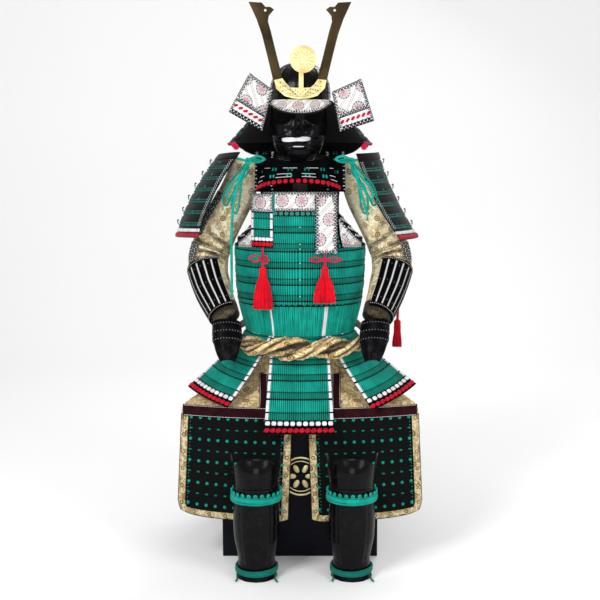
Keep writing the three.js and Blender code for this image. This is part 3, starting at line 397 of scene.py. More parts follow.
class Maker:
    """Builds one procedural material."""

    def __init__(self, name, rough=0.5, metal=0.0, sheen=0.0, coat=0.0, spec=0.4, ior=1.5):
        self.material = bpy.data.materials.new(name)
        self.material.use_nodes = True
        self.tree = self.material.node_tree
        self.bsdf = self.tree.nodes["Principled BSDF"]
        for key, value in (
            ("Roughness", rough),
            ("Metallic", metal),
            ("Sheen Weight", sheen),
            ("Coat Weight", coat),
            ("Specular IOR Level", spec),
            ("IOR", ior),
        ):
            self.bsdf.inputs[key].default_value = value

    def put(self, value, socket):
        if isinstance(value, Socket):
            self.tree.links.new(value.out, socket)
        elif isinstance(value, tuple):
            socket.default_value = (*value[:3], 1.0) if socket.type == "RGBA" else value
        else:
            socket.default_value = value

    def node(self, kind, out=0, **inputs):
        n = self.tree.nodes.new("ShaderNode" + kind)
        for key, value in inputs.items():
            self.put(value, n.inputs[key.replace("_", " ")])
        return Socket(self, n.outputs[out])

    def math(self, name, *values):
        n = self.tree.nodes.new("ShaderNodeMath")
        n.operation = name
        for k, value in enumerate(values):
            self.put(value, n.inputs[k])
        return Socket(self, n.outputs[0])

    def uv(self):
        """Across and down the piece, in millimetres."""
        n = self.tree.nodes.new("ShaderNodeSeparateXYZ")
        self.tree.links.new(self.node("TexCoord", "UV").out, n.inputs[0])
        return Socket(self, n.outputs[0]) * 1000.0, Socket(self, n.outputs[1]) * 1000.0

    def place(self):
        return self.node("TexCoord", "Object")

    def tint(self):
        n = self.tree.nodes.new("ShaderNodeVertexColor")
        n.layer_name = "tint"
        return Socket(self, n.outputs["Color"]), Socket(self, n.outputs["Alpha"])

    def blend(self, t, a, b, mode="MIX"):
        n = self.tree.nodes.new("ShaderNodeMix")
        n.data_type = "RGBA"
        n.blend_type = mode
        n.clamp_result = mode == "MULTIPLY"
        for value, k in ((t, 0), (a, 6), (b, 7)):
            self.put(value, n.inputs[k])
        return Socket(self, n.outputs[2])

    def noise(self, scale, detail=3.0, where=None):
        return self.node("TexNoise", Vector=where or self.place(), Scale=scale, Detail=detail)

    def ramp(self, t, low, high, a=0.0, b=1.0):
        n = self.tree.nodes.new("ShaderNodeMapRange")
        for value, k in ((t, 0), (low, 1), (high, 2), (a, 3), (b, 4)):
            self.put(value, n.inputs[k])
        return Socket(self, n.outputs[0])

    def done(self, colour=None, rough=None, height=None, depth=0.0006, strength=0.5):
        for value, key in ((colour, "Base Color"), (rough, "Roughness")):
            if value is not None:
                self.put(value, self.bsdf.inputs[key])
        if height is not None:
            n = self.node("Bump", Strength=strength, Distance=depth, Height=height)
            self.put(n, self.bsdf.inputs["Normal"])
        return self.material


def silk():
    """Braided silk lacing: fine slanting threads under an uneven dye."""
    m = Maker("silk_lacing", rough=0.6, sheen=0.06, spec=0.3, ior=1.25)
    m.bsdf.inputs["Sheen Roughness"].default_value = 0.4
    u, v = m.uv()
    tint, rough = m.tint()
    thread = ((u * 4.2) + (v * 3.1)).op("SINE") * ((u * 4.2) - (v * 3.1)).op("SINE")
    shade = m.ramp(m.noise(38, 4.0), 0.3, 0.72, 0.78, 1.18)
    shade = shade * m.ramp(thread, -1.0, 1.0, 0.86, 1.06)
    colour = m.blend(1.0, tint, m.node("CombineColor", Red=shade, Green=shade, Blue=shade), "MULTIPLY")
    return m.done(colour, rough, thread + m.noise(900, 1.0), depth=0.0003, strength=0.45)


def plate_lacquer():
    """Thin black lacquer of the lames, with brush sweep and dust."""
    m = Maker("lame_lacquer", spec=0.3, ior=1.07)
    tint, rough = m.tint()
    dust = m.ramp(m.noise(120, 5.0), 0.45, 0.8, 0.0, 0.35)
    colour = m.blend(dust * 0.25, tint, (0.03, 0.03, 0.03))
    return m.done(colour, rough + dust * 0.4, m.noise(60, 3.0), depth=0.0005, strength=0.25)


def half_drop(across, along, pitch):
    """A repeat whose rows are set over by half: place in its cell, and distance from the middle."""
    half = (along * (1 / pitch)).op("FLOOR").op("MODULO", 2.0) * (pitch / 2)
    x, y = (across + half).cell(pitch) * pitch, along.cell(pitch) * pitch
    return x, y, (x * x + y * y).op("SQRT")


# Widths of one repeat of the leather print, the brocade and the mail rings, in millimetres.
WHEEL_PITCH, BROCADE_PITCH, RING_PITCH = 53.0, 42.0, 4.4


def printed_leather():
    """Pale leather with dashed wheel medallions and slanting chains between them."""
    m = Maker("printed_leather", rough=0.62, spec=0.25)
    u, v = m.uv()
    x, y, r = half_drop(u, v, WHEEL_PITCH)
    angle = y.op("ARCTAN2", x)
    rim = r.near(16.4, 2.0) * (angle * 14.0).op("SINE").op("GREATER_THAN", -0.72)
    rim = rim.op("MAXIMUM", r.near(12.4, 0.5))
    blade = (angle * 4.0).op("SINE").op("ABSOLUTE")
    spoke = blade.op("LESS_THAN", 0.32) * r.near(7.4, 4.4)
    petal = blade.op("GREATER_THAN", 0.45) * r.near(7.2, 3.4)
    heart = r.near(2.2, 0.8)
    outside = r.op("GREATER_THAN", 19.0)
    s, t = (u + v).cell(WHEEL_PITCH).op("ABSOLUTE") * WHEEL_PITCH, (u - v) * 0.9
    rail = s.near(13.2, 4.6)
    chain = s.near(9.0, 0.7).op("MAXIMUM", s.near(17.4, 0.7))
    chain = chain.op("MAXIMUM", rail * t.op("SINE").op("GREATER_THAN", 0.72)) * outside
    worn = m.ramp(m.noise(90, 4.0), 0.3, 0.6, 0.62, 1.0)
    dark = rim.op("MAXIMUM", spoke).op("MAXIMUM", heart).op("MAXIMUM", chain * 0.7) * worn
    base = m.blend(m.noise(14, 3.0), screen(238, 236, 235), screen(214, 209, 206))
    colour = m.blend(petal * worn * 0.75, base, screen(200, 98, 124))
    colour = m.blend(dark * 0.95, colour, screen(22, 20, 26))
    tint, _ = m.tint()
    colour = m.blend(1.0, colour, tint, "MULTIPLY")
    return m.done(colour, None, m.noise(420, 4.0), depth=0.0006, strength=0.35)


def brocade():
    """Gold figured cloth: small rings among scrolling leaves over a fine twill."""
    m = Maker("brocade", rough=0.55, sheen=0.1, ior=1.3)
    u, v = m.uv()
    _, _, r = half_drop(u, v, BROCADE_PITCH)
    ring = r.near(6.2, 1.1).op("MAXIMUM", r.op("LESS_THAN", 2.2))
    scroll = m.noise(75, 2.0)
    leaf = (scroll * 24.0).op("SINE")
    leaf = m.ramp(leaf, 0.1, 0.35, 0.0, 1.0) * r.op("GREATER_THAN", 8.4)
    twill = ((u + v) * 5.2).op("SINE")
    ground = m.blend(m.ramp(m.noise(22, 4.0), 0.3, 0.7), screen(172, 148, 104), screen(230, 210, 164))
    colour = m.blend(leaf * 0.85, ground, screen(255, 242, 210))
    colour = m.blend(ring * 0.92, colour, screen(84, 58, 34))
    colour = m.blend(m.ramp(twill, -1.0, 1.0, 0.0, 0.22), colour, screen(96, 80, 52))
    tint, _ = m.tint()
    colour = m.blend(1.0, colour, tint, "MULTIPLY")
    m.bsdf.inputs["Metallic"].default_value = 0.12
    rough = m.ramp(leaf, 0.0, 1.0, 0.68, 0.4)
    return m.done(colour, rough, leaf * 0.8 + twill * 0.3 + ring, depth=0.0007, strength=0.6)


def gloss():
    """Deep black lacquer with faint ripple and a little dust."""
    m = Maker("black_lacquer", coat=0.06, spec=0.4, ior=1.2)
    m.bsdf.inputs["Coat Roughness"].default_value = 0.06
    dust = m.ramp(m.noise(55, 6.0), 0.5, 0.8, 0.0, 1.0)
    colour = m.blend(dust * 0.2, screen(6, 6, 8), screen(40, 40, 44))
    rough = m.ramp(m.noise(24, 4.0), 0.3, 0.7, 0.16, 0.3)
    return m.done(colour, rough, m.noise(18, 2.0), depth=0.0012, strength=0.18)


def chest_lacquer():
    """Satin blue-black lacquer over wood, with a long grain just showing."""
    m = Maker("chest_lacquer", spec=0.4, ior=1.14)
    stretch = m.node("Mapping", Vector=m.place(), Scale=(1.5, 30.0, 30.0))
    grain = m.noise(7, 5.0, stretch)
    colour = m.blend(grain, screen(10, 11, 16), screen(24, 25, 32))
    return m.done(colour, m.ramp(grain, 0.3, 0.7, 0.34, 0.5), grain, depth=0.0006, strength=0.25)


def iron():
    """Rough blackened iron: hammered, with worn spots."""
    m = Maker("dark_iron", spec=0.4, ior=1.14)
    pits = m.node("TexVoronoi", Vector=m.place(), Scale=150.0)
    spot = m.ramp(m.noise(46, 5.0), 0.5, 0.75, 0.0, 1.0)
    tint, _ = m.tint()
    colour = m.blend(spot * 0.5, tint, screen(46, 46, 48))
    rough = m.ramp(spot, 0.0, 1.0, 0.34, 0.6)
    return m.done(colour, rough, pits + m.noise(80, 4.0), depth=0.0012, strength=0.5)


def metal(name, bright, dull, rough, scale=30.0):
    """Gilt or brass with a clouded tarnish and fine scratches."""
    m = Maker(name, metal=0.85)
    cloud = m.ramp(m.noise(scale, 6.0), 0.35, 0.7, 0.0, 1.0)
    stretch = m.node("Mapping", Vector=m.place(), Scale=(8.0, 8.0, 240.0))
    scratch = m.noise(9, 3.0, stretch)
    colour = m.blend(cloud * 0.8, bright, dull)
    worn = m.ramp(scratch * 0.5 + cloud * 0.5, 0.2, 0.8, rough, rough + 0.22)
    return m.done(colour, worn, scratch, depth=0.0003, strength=0.25)


def wood():
    """Plain dark-stained board with a straight grain."""
    m = Maker("stand_wood", rough=0.6)
    stretch = m.node("Mapping", Vector=m.place(), Scale=(26.0, 26.0, 2.4))
    grain = m.noise(5, 6.0, stretch)
    line = (grain * 30.0).op("SINE")
    colour = m.blend(m.ramp(line, -1.0, 1.0), screen(24, 19, 16), screen(44, 35, 28))
    return m.done(colour, m.ramp(grain, 0.3, 0.7, 0.5, 0.7), line, depth=0.0005, strength=0.3)


def band_cloth():
    """Dark brown ribbed band."""
    m = Maker("brown_band", rough=0.72, sheen=0.03, spec=0.3, ior=1.1)
    u, v = m.uv()
    rib = (u * 3.4).op("SINE")
    colour = m.blend(m.ramp(m.noise(50, 4.0), 0.3, 0.7), screen(30, 10, 13), screen(52, 20, 24))
    return m.done(colour, None, rib + (v * 3.4).op("SINE") * 0.5, depth=0.0005, strength=0.5)


def mail():
    """Dark rings of mail sewn on cloth."""
    m = Maker("mail", rough=0.5, spec=0.3, ior=1.07)
    u, v = m.uv()
    _, _, r = half_drop(v, u, RING_PITCH)
    ring = r.near(1.5, 0.5)
    tint, _ = m.tint()
    colour = m.blend(ring, screen(6, 6, 6), screen(214, 216, 218))
    return m.done(m.blend(1.0, colour, tint, "MULTIPLY"), None, ring, depth=0.001, strength=0.8)


MATERIALS = {}


def material(name):
    if name not in MATERIALS:
        made = {
            "silk": silk,
            "plate": plate_lacquer,
            "leather": printed_leather,
            "brocade": brocade,
            "gloss": gloss,
            "chest": chest_lacquer,
            "iron": iron,
            "gold": lambda: metal("pale_gilt", screen(232, 222, 168), screen(206, 184, 124), 0.4),
            "brass": lambda: metal("dark_brass", screen(70, 57, 34), screen(34, 27, 17), 0.4, 14.0),
            "wood": wood,
            "band": band_cloth,
            "mail": mail,
        }
        MATERIALS[name] = made[name]()
    return MATERIALS[name]


WOVEN = ("silk", "plate")


def mats(*names):
    return [material(n) for n in names]


# Laced plates.

# Height, crown, rib depth, tint, roughness, material, and the shares of a band where it has points.
BANDS = {
    "gap": (0.6, 0.0, 0.0, BLACK, 0.3, PLATE, (0, 1)),
    "wide": (2.6, 0.7, 0.9, TEAL, 0.62, SILK, (0, 0.05, 0.25, 0.6, 0.94, 1)),
    "thin": (2.0, 0.5, 0.8, DEEP, 0.62, SILK, (0, 0.12, 0.5, 0.88, 1)),
    "lame": (2.2, 0.8, 0.0, BLACK, 0.3, PLATE, (0, 0.05, 0.5, 0.95, 1)),
    "line": (2.6, 0.5, 0.7, screen(26, 112, 100), 0.6, SILK, (0, 0.3, 0.7, 1)),
}
# Height of one row of lames, and width of one silk cord, in millimetres.
PITCH = 45.0
CORD = 5.0
# Each cord across its width: share of the width, and how far it stands up there, which also sets its
# painted shade in the silk.
FINE_CORD = ((0.04, 0.0), (0.3, 1.0), (0.7, 1.0), (0.96, 0.0))
PLAIN_CORD = ((0.0, 0.0), (0.28, 1.0), (0.72, 1.0))
# What one row shows from top to foot, in shares of its pitch.
SHARES = (
    ("gap", 0.0, 0.03), ("wide", 0.03, 0.575), ("gap", 0.575, 0.645), ("thin", 0.645, 0.925),
    ("gap", 0.925, 1.0),
)


def lacing(length, start, keep=0.0, shares=SHARES, pitch=None):
    """Bands down a plate: [kind, from, to] in shares of its length; the last keep millimetres stay bare."""
    out = []
    pitch = pitch or PITCH
    top = -start * pitch
    stop = length - keep
    while top < stop:
        for kind, a, b in shares:
            lo, hi = max(top + a * pitch, 0), min(top + b * pitch, stop)
            if hi - lo > 0.8:
                out.append((kind, lo / length, hi / length))
        top += pitch
    if keep:
        out.append(("gap", stop / length, 1.0))
    return out


def laced(
    shell,
    S,
    bands,
    away=outwards,
    level=False,
    thick=1.5,
    white=8.0,
    cord=None,
    inner=5,
    shade=1.0,
    side=None,
    fine=True,
):
    """Adds a laced plate: cords side by side in every silk band, and a white cord down each side edge."""
    cord = cord or CORD
    side = side or WHITE
    width = sizes(S)[0]
    n = max(4, int((width - 2 * white) / cord))
    cols = []
    if white:
        cols += [(0.0, 0.2, 1, 0), (0.22 * white, 1.0, 1, 0), (0.78 * white, 1.0, 1, 0), (white, 0.1, 1, 0)]
    for k in range(n):
        x0 = white + (width - 2 * white) * k / n
        w = (width - 2 * white) / n
        cols += [(x0 + x * w, r, 0, k + (white > 0)) for x, r in (FINE_CORD if fine else PLAIN_CORD)]
    if white:
        cols += [(width - x, r, f, k) for x, r, f, k in cols[:4][::-1]]
    us = np.clip(np.array([c[0] for c in cols]) / width, 0, 1)
    rib = np.array([c[1] for c in cols])
    flag = np.array([c[2] for c in cols])
    vary = 1 + 0.1 * np.sin(np.array([c[3] for c in cols]) * 12.9898) * (flag == 0)
    length = sizes(S)[1]
    vs, rise, tint, mat, slide = [], [], [], [], []
    for kind, a, b in bands:
        high, crown, deep, colour, rough, m, shares = BANDS[kind]
        for s in shares:
            v = a + (b - a) * s
            if vs:
                v = max(v, vs[-1] + 2e-5)
            vs.append(v)
            end = 1.0 if 0.02 < s < 0.98 else 0.0
            h = high + crown * math.sin(math.pi * s) - deep * (1 - rib)
            if m == SILK:
                h = h if end else 0.6 + (h - 0.6) * 0.35
            rise.append(np.broadcast_to(h, len(us)))
            push = (2.3 * rib - 1.0) * (1 if s > 0.5 else -1) * (m == SILK and not end) * (flag == 0)
            slide.append(push / length)
            if m == SILK:
                # Painted shade: the silk darkens into the grooves between cords and at the ends of each
                # band, and the shade argument dims all of it for plates that lie in shadow; vary is each
                # cord's own tone.
                light = (0.14 + 0.86 * rib) * vary * (0.72 + 0.28 * end) * shade
                c = np.array(colour)[None] * light[:, None]
                # The white side cords darken towards their edges as painted shade.
                c = np.where(flag[:, None] == 1, np.array(side)[None] * (0.5 + 0.5 * rib)[:, None], c)
            else:
                c = np.broadcast_to(np.array(colour), (len(us), 3))
            tint.append(np.concatenate([c, np.full((len(us), 1), rough)], 1))
            mat.append(m)
    vs = np.array(vs) / max(1.0, vs[-1])
    cells = np.repeat(np.array(mat)[:-1, None], len(us) - 1, 1)
    for j in range(len(mat) - 1):
        if mat[j] != mat[j + 1]:
            cells[j] = PLATE
    lining = rgba(screen(30, 26, 26), DULL)
    skin(
        shell, S, us, vs, np.array(rise), thick, away, level, np.array(tint), cells, inner, lining,
        np.array(slide),
    )


def bead_row(
    shell, S, v, pitch, a, b, h, colour, away=outwards, lift=0.8, rough=0.5, square=3.2, inset=0.0,
    slant=0.0,
):
    """Adds a row of rounded knots across a plate."""
    width = sizes(S)[0]
    n = max(2, round((width - 2 * inset) / pitch))
    us = inset / width + (np.arange(n) + 0.5) / n * (1 - 2 * inset / width)
    p, out, along = on(S, us, np.full(n, v), lift, away)
    if slant:
        along = unit(along + slant * np.cross(out, along))
    wobble = 1 + 0.05 * np.sin(np.arange(n) * 4.1)
    tone = 0.94 + 0.08 * np.sin(np.arange(n) * 2.3)
    tint = rgba(colour, rough) * np.stack([tone, tone, tone, np.ones(n)], 1)
    domes(shell, p, out, along, a * wobble, b, h, tint, SILK, 10, square)


# Trunk.

TRUNK = (
    (590, 150, 150), (677, 171, 136), (735, 177, 140), (835, 180, 143), (921, 160, 132), (989, 142, 118),
    (1060, 128, 100),
)
HEM, WAIST, BREAST, COLLAR = 677.0, 835.0, 921.0, 984.0
FRONT_WIDTH = ((835, 114), (870, 106), (921, 101), (984, 99))
BACK_WIDTH = ((835, 126), (900, 112), (960, 110), (1032, 118))


def trunk(angle, z):
    """Point of the trunk at a height and at an angle from the front, in degrees."""
    a, b = look(TRUNK, z)
    s, c = np.sin(rad(angle)), np.cos(rad(angle))
    return vec(a * power(s, 2 / 2.4), -b * power(c, 2 / 2.4), z)


def face(x, z, side=-1):
    """Point of the trunk's front, or of its back, at a width and a height."""
    a, b = look(TRUNK, z)
    t = np.minimum(np.abs(x) / a, 0.985)
    return vec(x, side * b * (1 - t**2.4) ** (1 / 2.4), z)


def around(a, b, z0, z1):
    """Stretch of the trunk between two angles and two heights."""
    return lambda u, v: trunk(mix(a, b, u), mix(z1, z0, v))


def panel(widths, z0, z1, side):
    """Panel on the trunk's front or back, as wide as its table says."""
    def S(u, v):
        z = mix(z1, z0, v)
        return face(look(widths, z)[0] * (2 * u - 1), z, side)

    return S


def lame_studs(shell, S, rows, u=0.5, away=outwards):
    """Adds one pale stud on each row of a plate."""
    p, out, along = on(S, np.full(len(rows), u), np.array(rows), 3.0, away)
    domes(shell, p, out, along, 1.6, 1.6, 1.6, rgba(WHITE, SHINY), PLATE, 6)


def cuts(length, edge, step):
    """Shares of a length: close together at a border's inner line, even between."""
    middle = np.linspace(edge + 1.5, length - edge - 1.5, max(3, int(length / step)))
    marks = [0, edge / 2, edge - 0.3, edge + 0.3, *middle]
    marks += [length - edge - 0.3, length - edge + 0.3, length - edge / 2, length]
    return np.array(marks) / length


def picots(shell, S, away, edge, sides, lift, step=4.4, mat=1):
    """Adds the ragged pale stitches on the dark binding round a printed plate."""
    w, l = sizes(S)
    for side in sides:
        flat = side in "ud"
        n = max(4, int((w if flat else l) / step))
        t = (np.arange(n) + 0.5) / n
        depth = edge * np.where(np.arange(n) % 2, 0.78, 0.4)
        gap = depth / (l if flat else w)
        gap = 1 - gap if side in "dr" else gap
        p, out, along = on(S, t if flat else gap, gap if flat else t, lift, away)
        a, b = (1.5, 3.2) if flat else (3.2, 1.5)
        shade = np.where(np.arange(n) % 2, 1.0, 0.5)[:, None]
        tint = np.concatenate([np.array(WHITE)[None] * shade, np.full((n, 1), 0.6)], 1)
        domes(shell, p, out, along, a, b, 1.0, tint, mat, 6)
        gap = edge * (1.0 + 0.3 * np.sin(np.arange(n) * 2.1)) / (l if flat else w)
        gap = 1 - gap if side in "dr" else gap
        p, out, along = on(S, t - 0.5 / n if flat else gap, gap if flat else t - 0.5 / n, lift, away)
        a, b = (1.1, 3.0) if flat else (3.0, 1.1)
        domes(shell, p, out, along, a, b, 0.9, rgba(BLACK, DULL), mat, 6)


def printed(
    shell, S, away, level=False, sides="udlr", lift=1.2, thick=1.8, edge=7.0, step=3.4, shift=(0.0, 0.0),
    inner=5,
):
    """Adds a printed leather plate with its dark stitched binding."""
    w, l = sizes(S)
    us, vs = cuts(w, edge, step), cuts(l, edge, step)
    U, V = np.meshgrid(us, vs)
    far = np.full(U.shape, 99.0)
    for side, d in (("u", V * l), ("d", (1 - V) * l), ("l", U * w), ("r", (1 - U) * w)):
        if side in sides:
            far = np.minimum(far, d)
    dark = far < edge
    tint = np.where(dark[..., None], rgba((0.03, 0.03, 0.035), DULL), rgba((0.97, 0.97, 0.97), DULL))
    skin(shell, S, us, vs, lift + 0.5 * dark, thick, away, level, tint, 0, inner, shift=shift)
    picots(shell, S, away, edge, sides, lift + 0.6)


def build_cuirass():
    """Front and back of the cuirass, breast rows, upper back and the printed plates on them."""
    for name, a, b in (("front", -89.98, 89.98), ("back", 90.02, 269.98)):
        shell = Shell()
        S = around(a, b, HEM, WAIST - GAP)
        rows = lacing(WAIST - HEM, 0.8, 7.0)
        laced(shell, S, rows, level=True, thick=2.0, white=0, fine=name == "front")
        if name == "front":
            lame_studs(shell, S, [r[1] for r in rows if r[0] == "thin"])
        bead_row(shell, S, 0.968, 13.0, 4.2, 2.0, 1.4, DEEP, lift=1.0)
        shell.build(f"laced_cuirass_{name}", mats(*WOVEN), [f"cuirass_{name}"])
    shell = Shell()
    S = panel(FRONT_WIDTH, WAIST, BREAST - GAP, -1)
    rows = lacing(BREAST - WAIST, 0.0)
    laced(shell, S, rows, level=True, thick=2.0, white=0)
    lame_studs(shell, S, [r[1] for r in rows if r[0] == "thin"])
    edge = lambda u, v: S(mix(0.925, 1.0, u), v)
    skin(
        shell, edge, [0, 0.1, 0.9, 1], np.linspace(0, 1, 20), 3.6, -1.5, outwards, True, rgba(BLACK, 0.4),
        1, 3,
    )
    p, out, along = on(S, np.full(7, 0.962), np.linspace(0.06, 0.94, 7), 3.4)
    domes(shell, p, out, along, 2.6, 5.0, 1.8, rgba(DEEP, DULL), SILK, 8, 2.6)
    shell.build("laced_breast_rows", mats(*WOVEN), ["breast_rows"])
    shell = Shell()
    S = panel(BACK_WIDTH, WAIST, 1032, 1)
    top = [("lame", 0.0, 0.33)]
    rest = [(k, a, b) for k, a, b in lacing(1032 - WAIST, 0.4) if b > 0.36]
    rest[0] = (rest[0][0], 0.36, rest[0][2])
    laced(shell, S, top + [("gap", 0.331, 0.36)] + rest, level=True, thick=2.0, fine=False)
    bead_row(shell, S, 0.345, 12.0, 4.6, 2.6, 1.6, TEAL)
    shell.build("laced_upper_back", mats(*WOVEN), ["back_upper"])
    shell = Shell()
    S = panel(FRONT_WIDTH, BREAST, COLLAR, -1)
    printed(shell, lambda u, v: S(u, v * 0.79), outwards, True, "ud", 1.2, 2.0, 5.0, shift=(-28.0, 4.0))
    foot = lambda u, v: S(u, mix(0.792, 1.0, v))
    skin(
        shell, foot, np.linspace(0, 1, 60), [0, 0.06, 0.5, 0.94, 1], 1.0, 2.0, outwards, True,
        rgba(BLACK, 0.4), 1, 2,
    )
    bead_row(shell, S, 0.9, 15.0, 5.6, 5.0, 1.9, screen(46, 142, 124), lift=1.2)
    for u in (0.012, 0.155):
        v = np.linspace(0.02, 0.98, 9)
        tube(shell, on(S, np.full(9, u), v, 2.6)[0], 2.4, rgba(TEAL, DULL), 1)
    shell.build("printed_breast_plate", mats("leather", "silk"), ["breast_plate"])
    for name, s in SIDES:
        shell = Shell()

        def S(u, v, s=s):
            inner = look(FRONT_WIDTH, mix(WAIST, 917, v))[0] + GAP
            x = mix(166, inner, u)
            top = mix(843, 917, power(np.maximum(u, 0), 1.2))
            return face(s * x, mix(WAIST + 0.1, top, v))

        printed(shell, S, outwards, True, "ud", 1.4, 1.5, 4.0, shift=(12.0, 20.0))

        def rim(u, v, s=s):
            inner = look(FRONT_WIDTH, 917 + 0 * v)[0] + GAP
            top = mix(843, 917, power(np.maximum(u, 0), 1.2))
            return face(s * mix(171, inner, u), top + 15 * v)

        skin(
            shell, rim, np.linspace(0, 1, 40), np.linspace(0, 1, 8), 0.8, 1.5, outwards, True,
            rgba(BLACK, DULL), 1, 3,
        )
        n = 34
        p, out, along = on(rim, (np.arange(n) + 0.5) / n, mix(0.35, 1.0, (np.arange(n) * 7 % 5) / 4), 1.0)
        pale = np.where((np.arange(n) % 2 == 0)[:, None], rgba(WHITE, DULL), rgba(BLACK, DULL))
        domes(shell, p, out, unit(along + 0.8 * np.cross(out, along)), 1.2, 3.6, 1.4, pale, 1, 6)
        shell.build(
            f"printed_armpit_{name}", mats("leather", "silk"), [f"armpit_plate_{name}"]
        )


# Middle line of a strap from front to rear: y, z.
STRAP_ROUTE = ((-113, 985.2), (-97, 1022), (-62, 1062), (-20, 1080), (22, 1083), (66, 1068), (96, 1034))
STRAP = Line([(0, y, z) for y, z in STRAP_ROUTE])


def strap(s):
    """Surface of one shoulder strap."""
    def S(u, v):
        p = STRAP.at(v)
        p = p + STRAP.along(np.clip(v, 0.002, 0.998)) * ((v - np.clip(v, 0, 1)) * 230)[..., None]
        return vec(s * mix(72, 121, u), p[..., 1], p[..., 2])

    return S


def over(x0, x1, z0, z1, lift):
    """Surface that hangs a lift before the breast."""
    def S(u, v):
        p = face(mix(x0, x1, u), mix(z1, z0, v))
        return p - np.array([0, lift, 0])

    return S


def build_straps():
    """Black laced shoulder straps and the two pendant plates before the armholes."""
    for name, s in SIDES:
        shell = Shell()
        S = strap(s)
        away = lambda p: vec(0 * p[:, 0], p[:, 1], p[:, 2] - 960)
        us, vs = cuts(49, 5, 4), np.linspace(0, 1, 90)
        _, V = np.meshgrid(us, vs)
        rib = 0.7 * np.abs(np.sin(np.pi * 7 * V)) ** 0.3
        # The straps are tinted black lacquer as painted shade, for the shadow they lie in.
        skin(shell, S, us, vs, 2.2 + rib, 2.4, away, tint=rgba(BLACK, 0.35), mat=1, inner=24)
        picots(shell, S, away, 5.0, "lr", 3.0, 11.0, 0)
        v = np.repeat((np.arange(7) + 0.5) / 7, 2)
        p, out, along = on(S, np.tile([0.42, 0.58], 7), v, 2.8, away)
        domes(shell, p, out, along, 2.4, 5.0, 1.5, rgba(DEEP, DULL), SILK, 8, 2.6)
        shell.build(f"laced_strap_{name}", mats(*WOVEN), [f"shoulder_strap_{name}"])
    front = facing(0, -1, 0)
    shell = Shell()
    S = over(-130, -72, 838, 978, 7.2)
    rows = [("gap", 0.0, 0.36), ("thin", 0.36, 0.45), ("gap", 0.45, 0.475), ("wide", 0.475, 0.645)]
    rows += [("gap", 0.645, 0.68), ("thin", 0.68, 0.8), ("gap", 0.8, 1.0)]
    laced(shell, S, rows, front, thick=1.4, white=8)
    bead_row(shell, S, 0.845, 11.6, 5.2, 5.0, 2.6, WHITE, front)
    bead_row(shell, S, 0.94, 11.6, 5.6, 6.0, 3.0, RED, front, slant=0.3)
    shell.build("laced_pendant", mats(*WOVEN), ["laced_pendant_plate"])
    shell = Shell()
    top = lambda u, v: S(u, v * 0.335)
    printed(shell, top, front, lift=3.0, thick=-0.9, edge=5.0, shift=(-5.5, 2.0))
    shell.build("printed_pendant_top", mats("leather", "silk"))
    shell = Shell()
    printed(
        shell, over(40, 99, 821, 980, 7.2), front, lift=1.6, thick=1.4, edge=8.0, step=3.0,
        shift=(14.0, 10.0),
    )
    shell.build("printed_pendant", mats("leather", "silk"), ["leather_pendant_plate"])


# Hanging cords and skirt.


def ring_point(angle, v):
    a, b = mix(169, 150, v), mix(134, 158, v)
    s, c = np.sin(rad(angle)), np.cos(rad(angle))
    return vec(a * power(s, 2 / 2.2), -b * power(c, 2 / 2.2), mix(HEM - GAP, 600 + GAP, v))


def build_hanging_cords():
    """Rows of separate silk cords that carry the skirt under the cuirass."""
    for name, a, b in (("front", -84, 84), ("back", 118, 242)):
        shell = Shell()
        fine = np.linspace(a, b, 400)
        p = ring_point(fine, np.full(400, 0.5))
        run = np.concatenate([[0], np.cumsum(np.linalg.norm(np.diff(p, axis=0), axis=1))])
        n = int(run[-1] / 5.4)
        angles = np.interp((np.arange(n) + 0.5) / n * run[-1], run, fine)
        vs = np.linspace(0.0, 1.0, 7)
        for k, angle in enumerate(angles):
            line = ring_point(np.full(7, angle), vs)
            out = unit(line * [1, 1, 0])
            wave = 1.0 + 0.8 * math.sin(k * 2.4) + 0.7 * np.sin(vs * 3.0 + k)
            side = np.cross(out, [0, 0, 1.0])
            line = line + out * wave[:, None] + side * (0.5 * np.sin(vs * 5 + k * 1.7))[:, None]
            x = line[3][0]
            white = name == "front" and min(abs(x + 76), abs(x - 66)) < 4.2
            shade = 0.82 + 0.26 * abs(math.sin(k * 7.7))
            tint = rgba(WHITE if white else np.array(TEAL) * shade, DULL)
            tube(shell, line, 2.75, tint, 0, 7)
        shell.build(f"silk_hanging_cords_{name}", mats("silk"), [f"hanging_cords_{name}"])


SKIRTS = (
    ("front", -28, 28, (-94, -290, 369), (89, -290, 369), 3, 0.3),
    ("right", -84, -28.4, (-303, -150, 463), (-189, -256, 431), 10, 0.14),
    ("left", 28.4, 84, (189, -256, 424), (314, -150, 470), 10, 0.14),
    ("back", 132, 228, (150, 228, 400), (-150, 228, 400), 14, 0.2),
)


def skirt(start, end, a, b, bow, out):
    a, b = np.array(a, float), np.array(b, float)
    push = unit((a + b) * [0.5, 0.5, 0])

    def S(u, v):
        u, v = np.asarray(u)[:, None], np.asarray(v)[:, None]
        top = ring_point(mix(start, end, u[:, 0]), np.ones(len(u)))
        low = a + (b - a) * u + push * bow * 4 * u * (1 - u)
        knee = mix(top, low, out)
        knee[:, 2] = mix(600, low[:, 2], 0.3)
        p = top * (1 - v) ** 2 + knee * 2 * v * (1 - v) + low * v**2
        p[:, 2] -= 4 * GAP * (1 - v[:, 0])
        return p

    return S


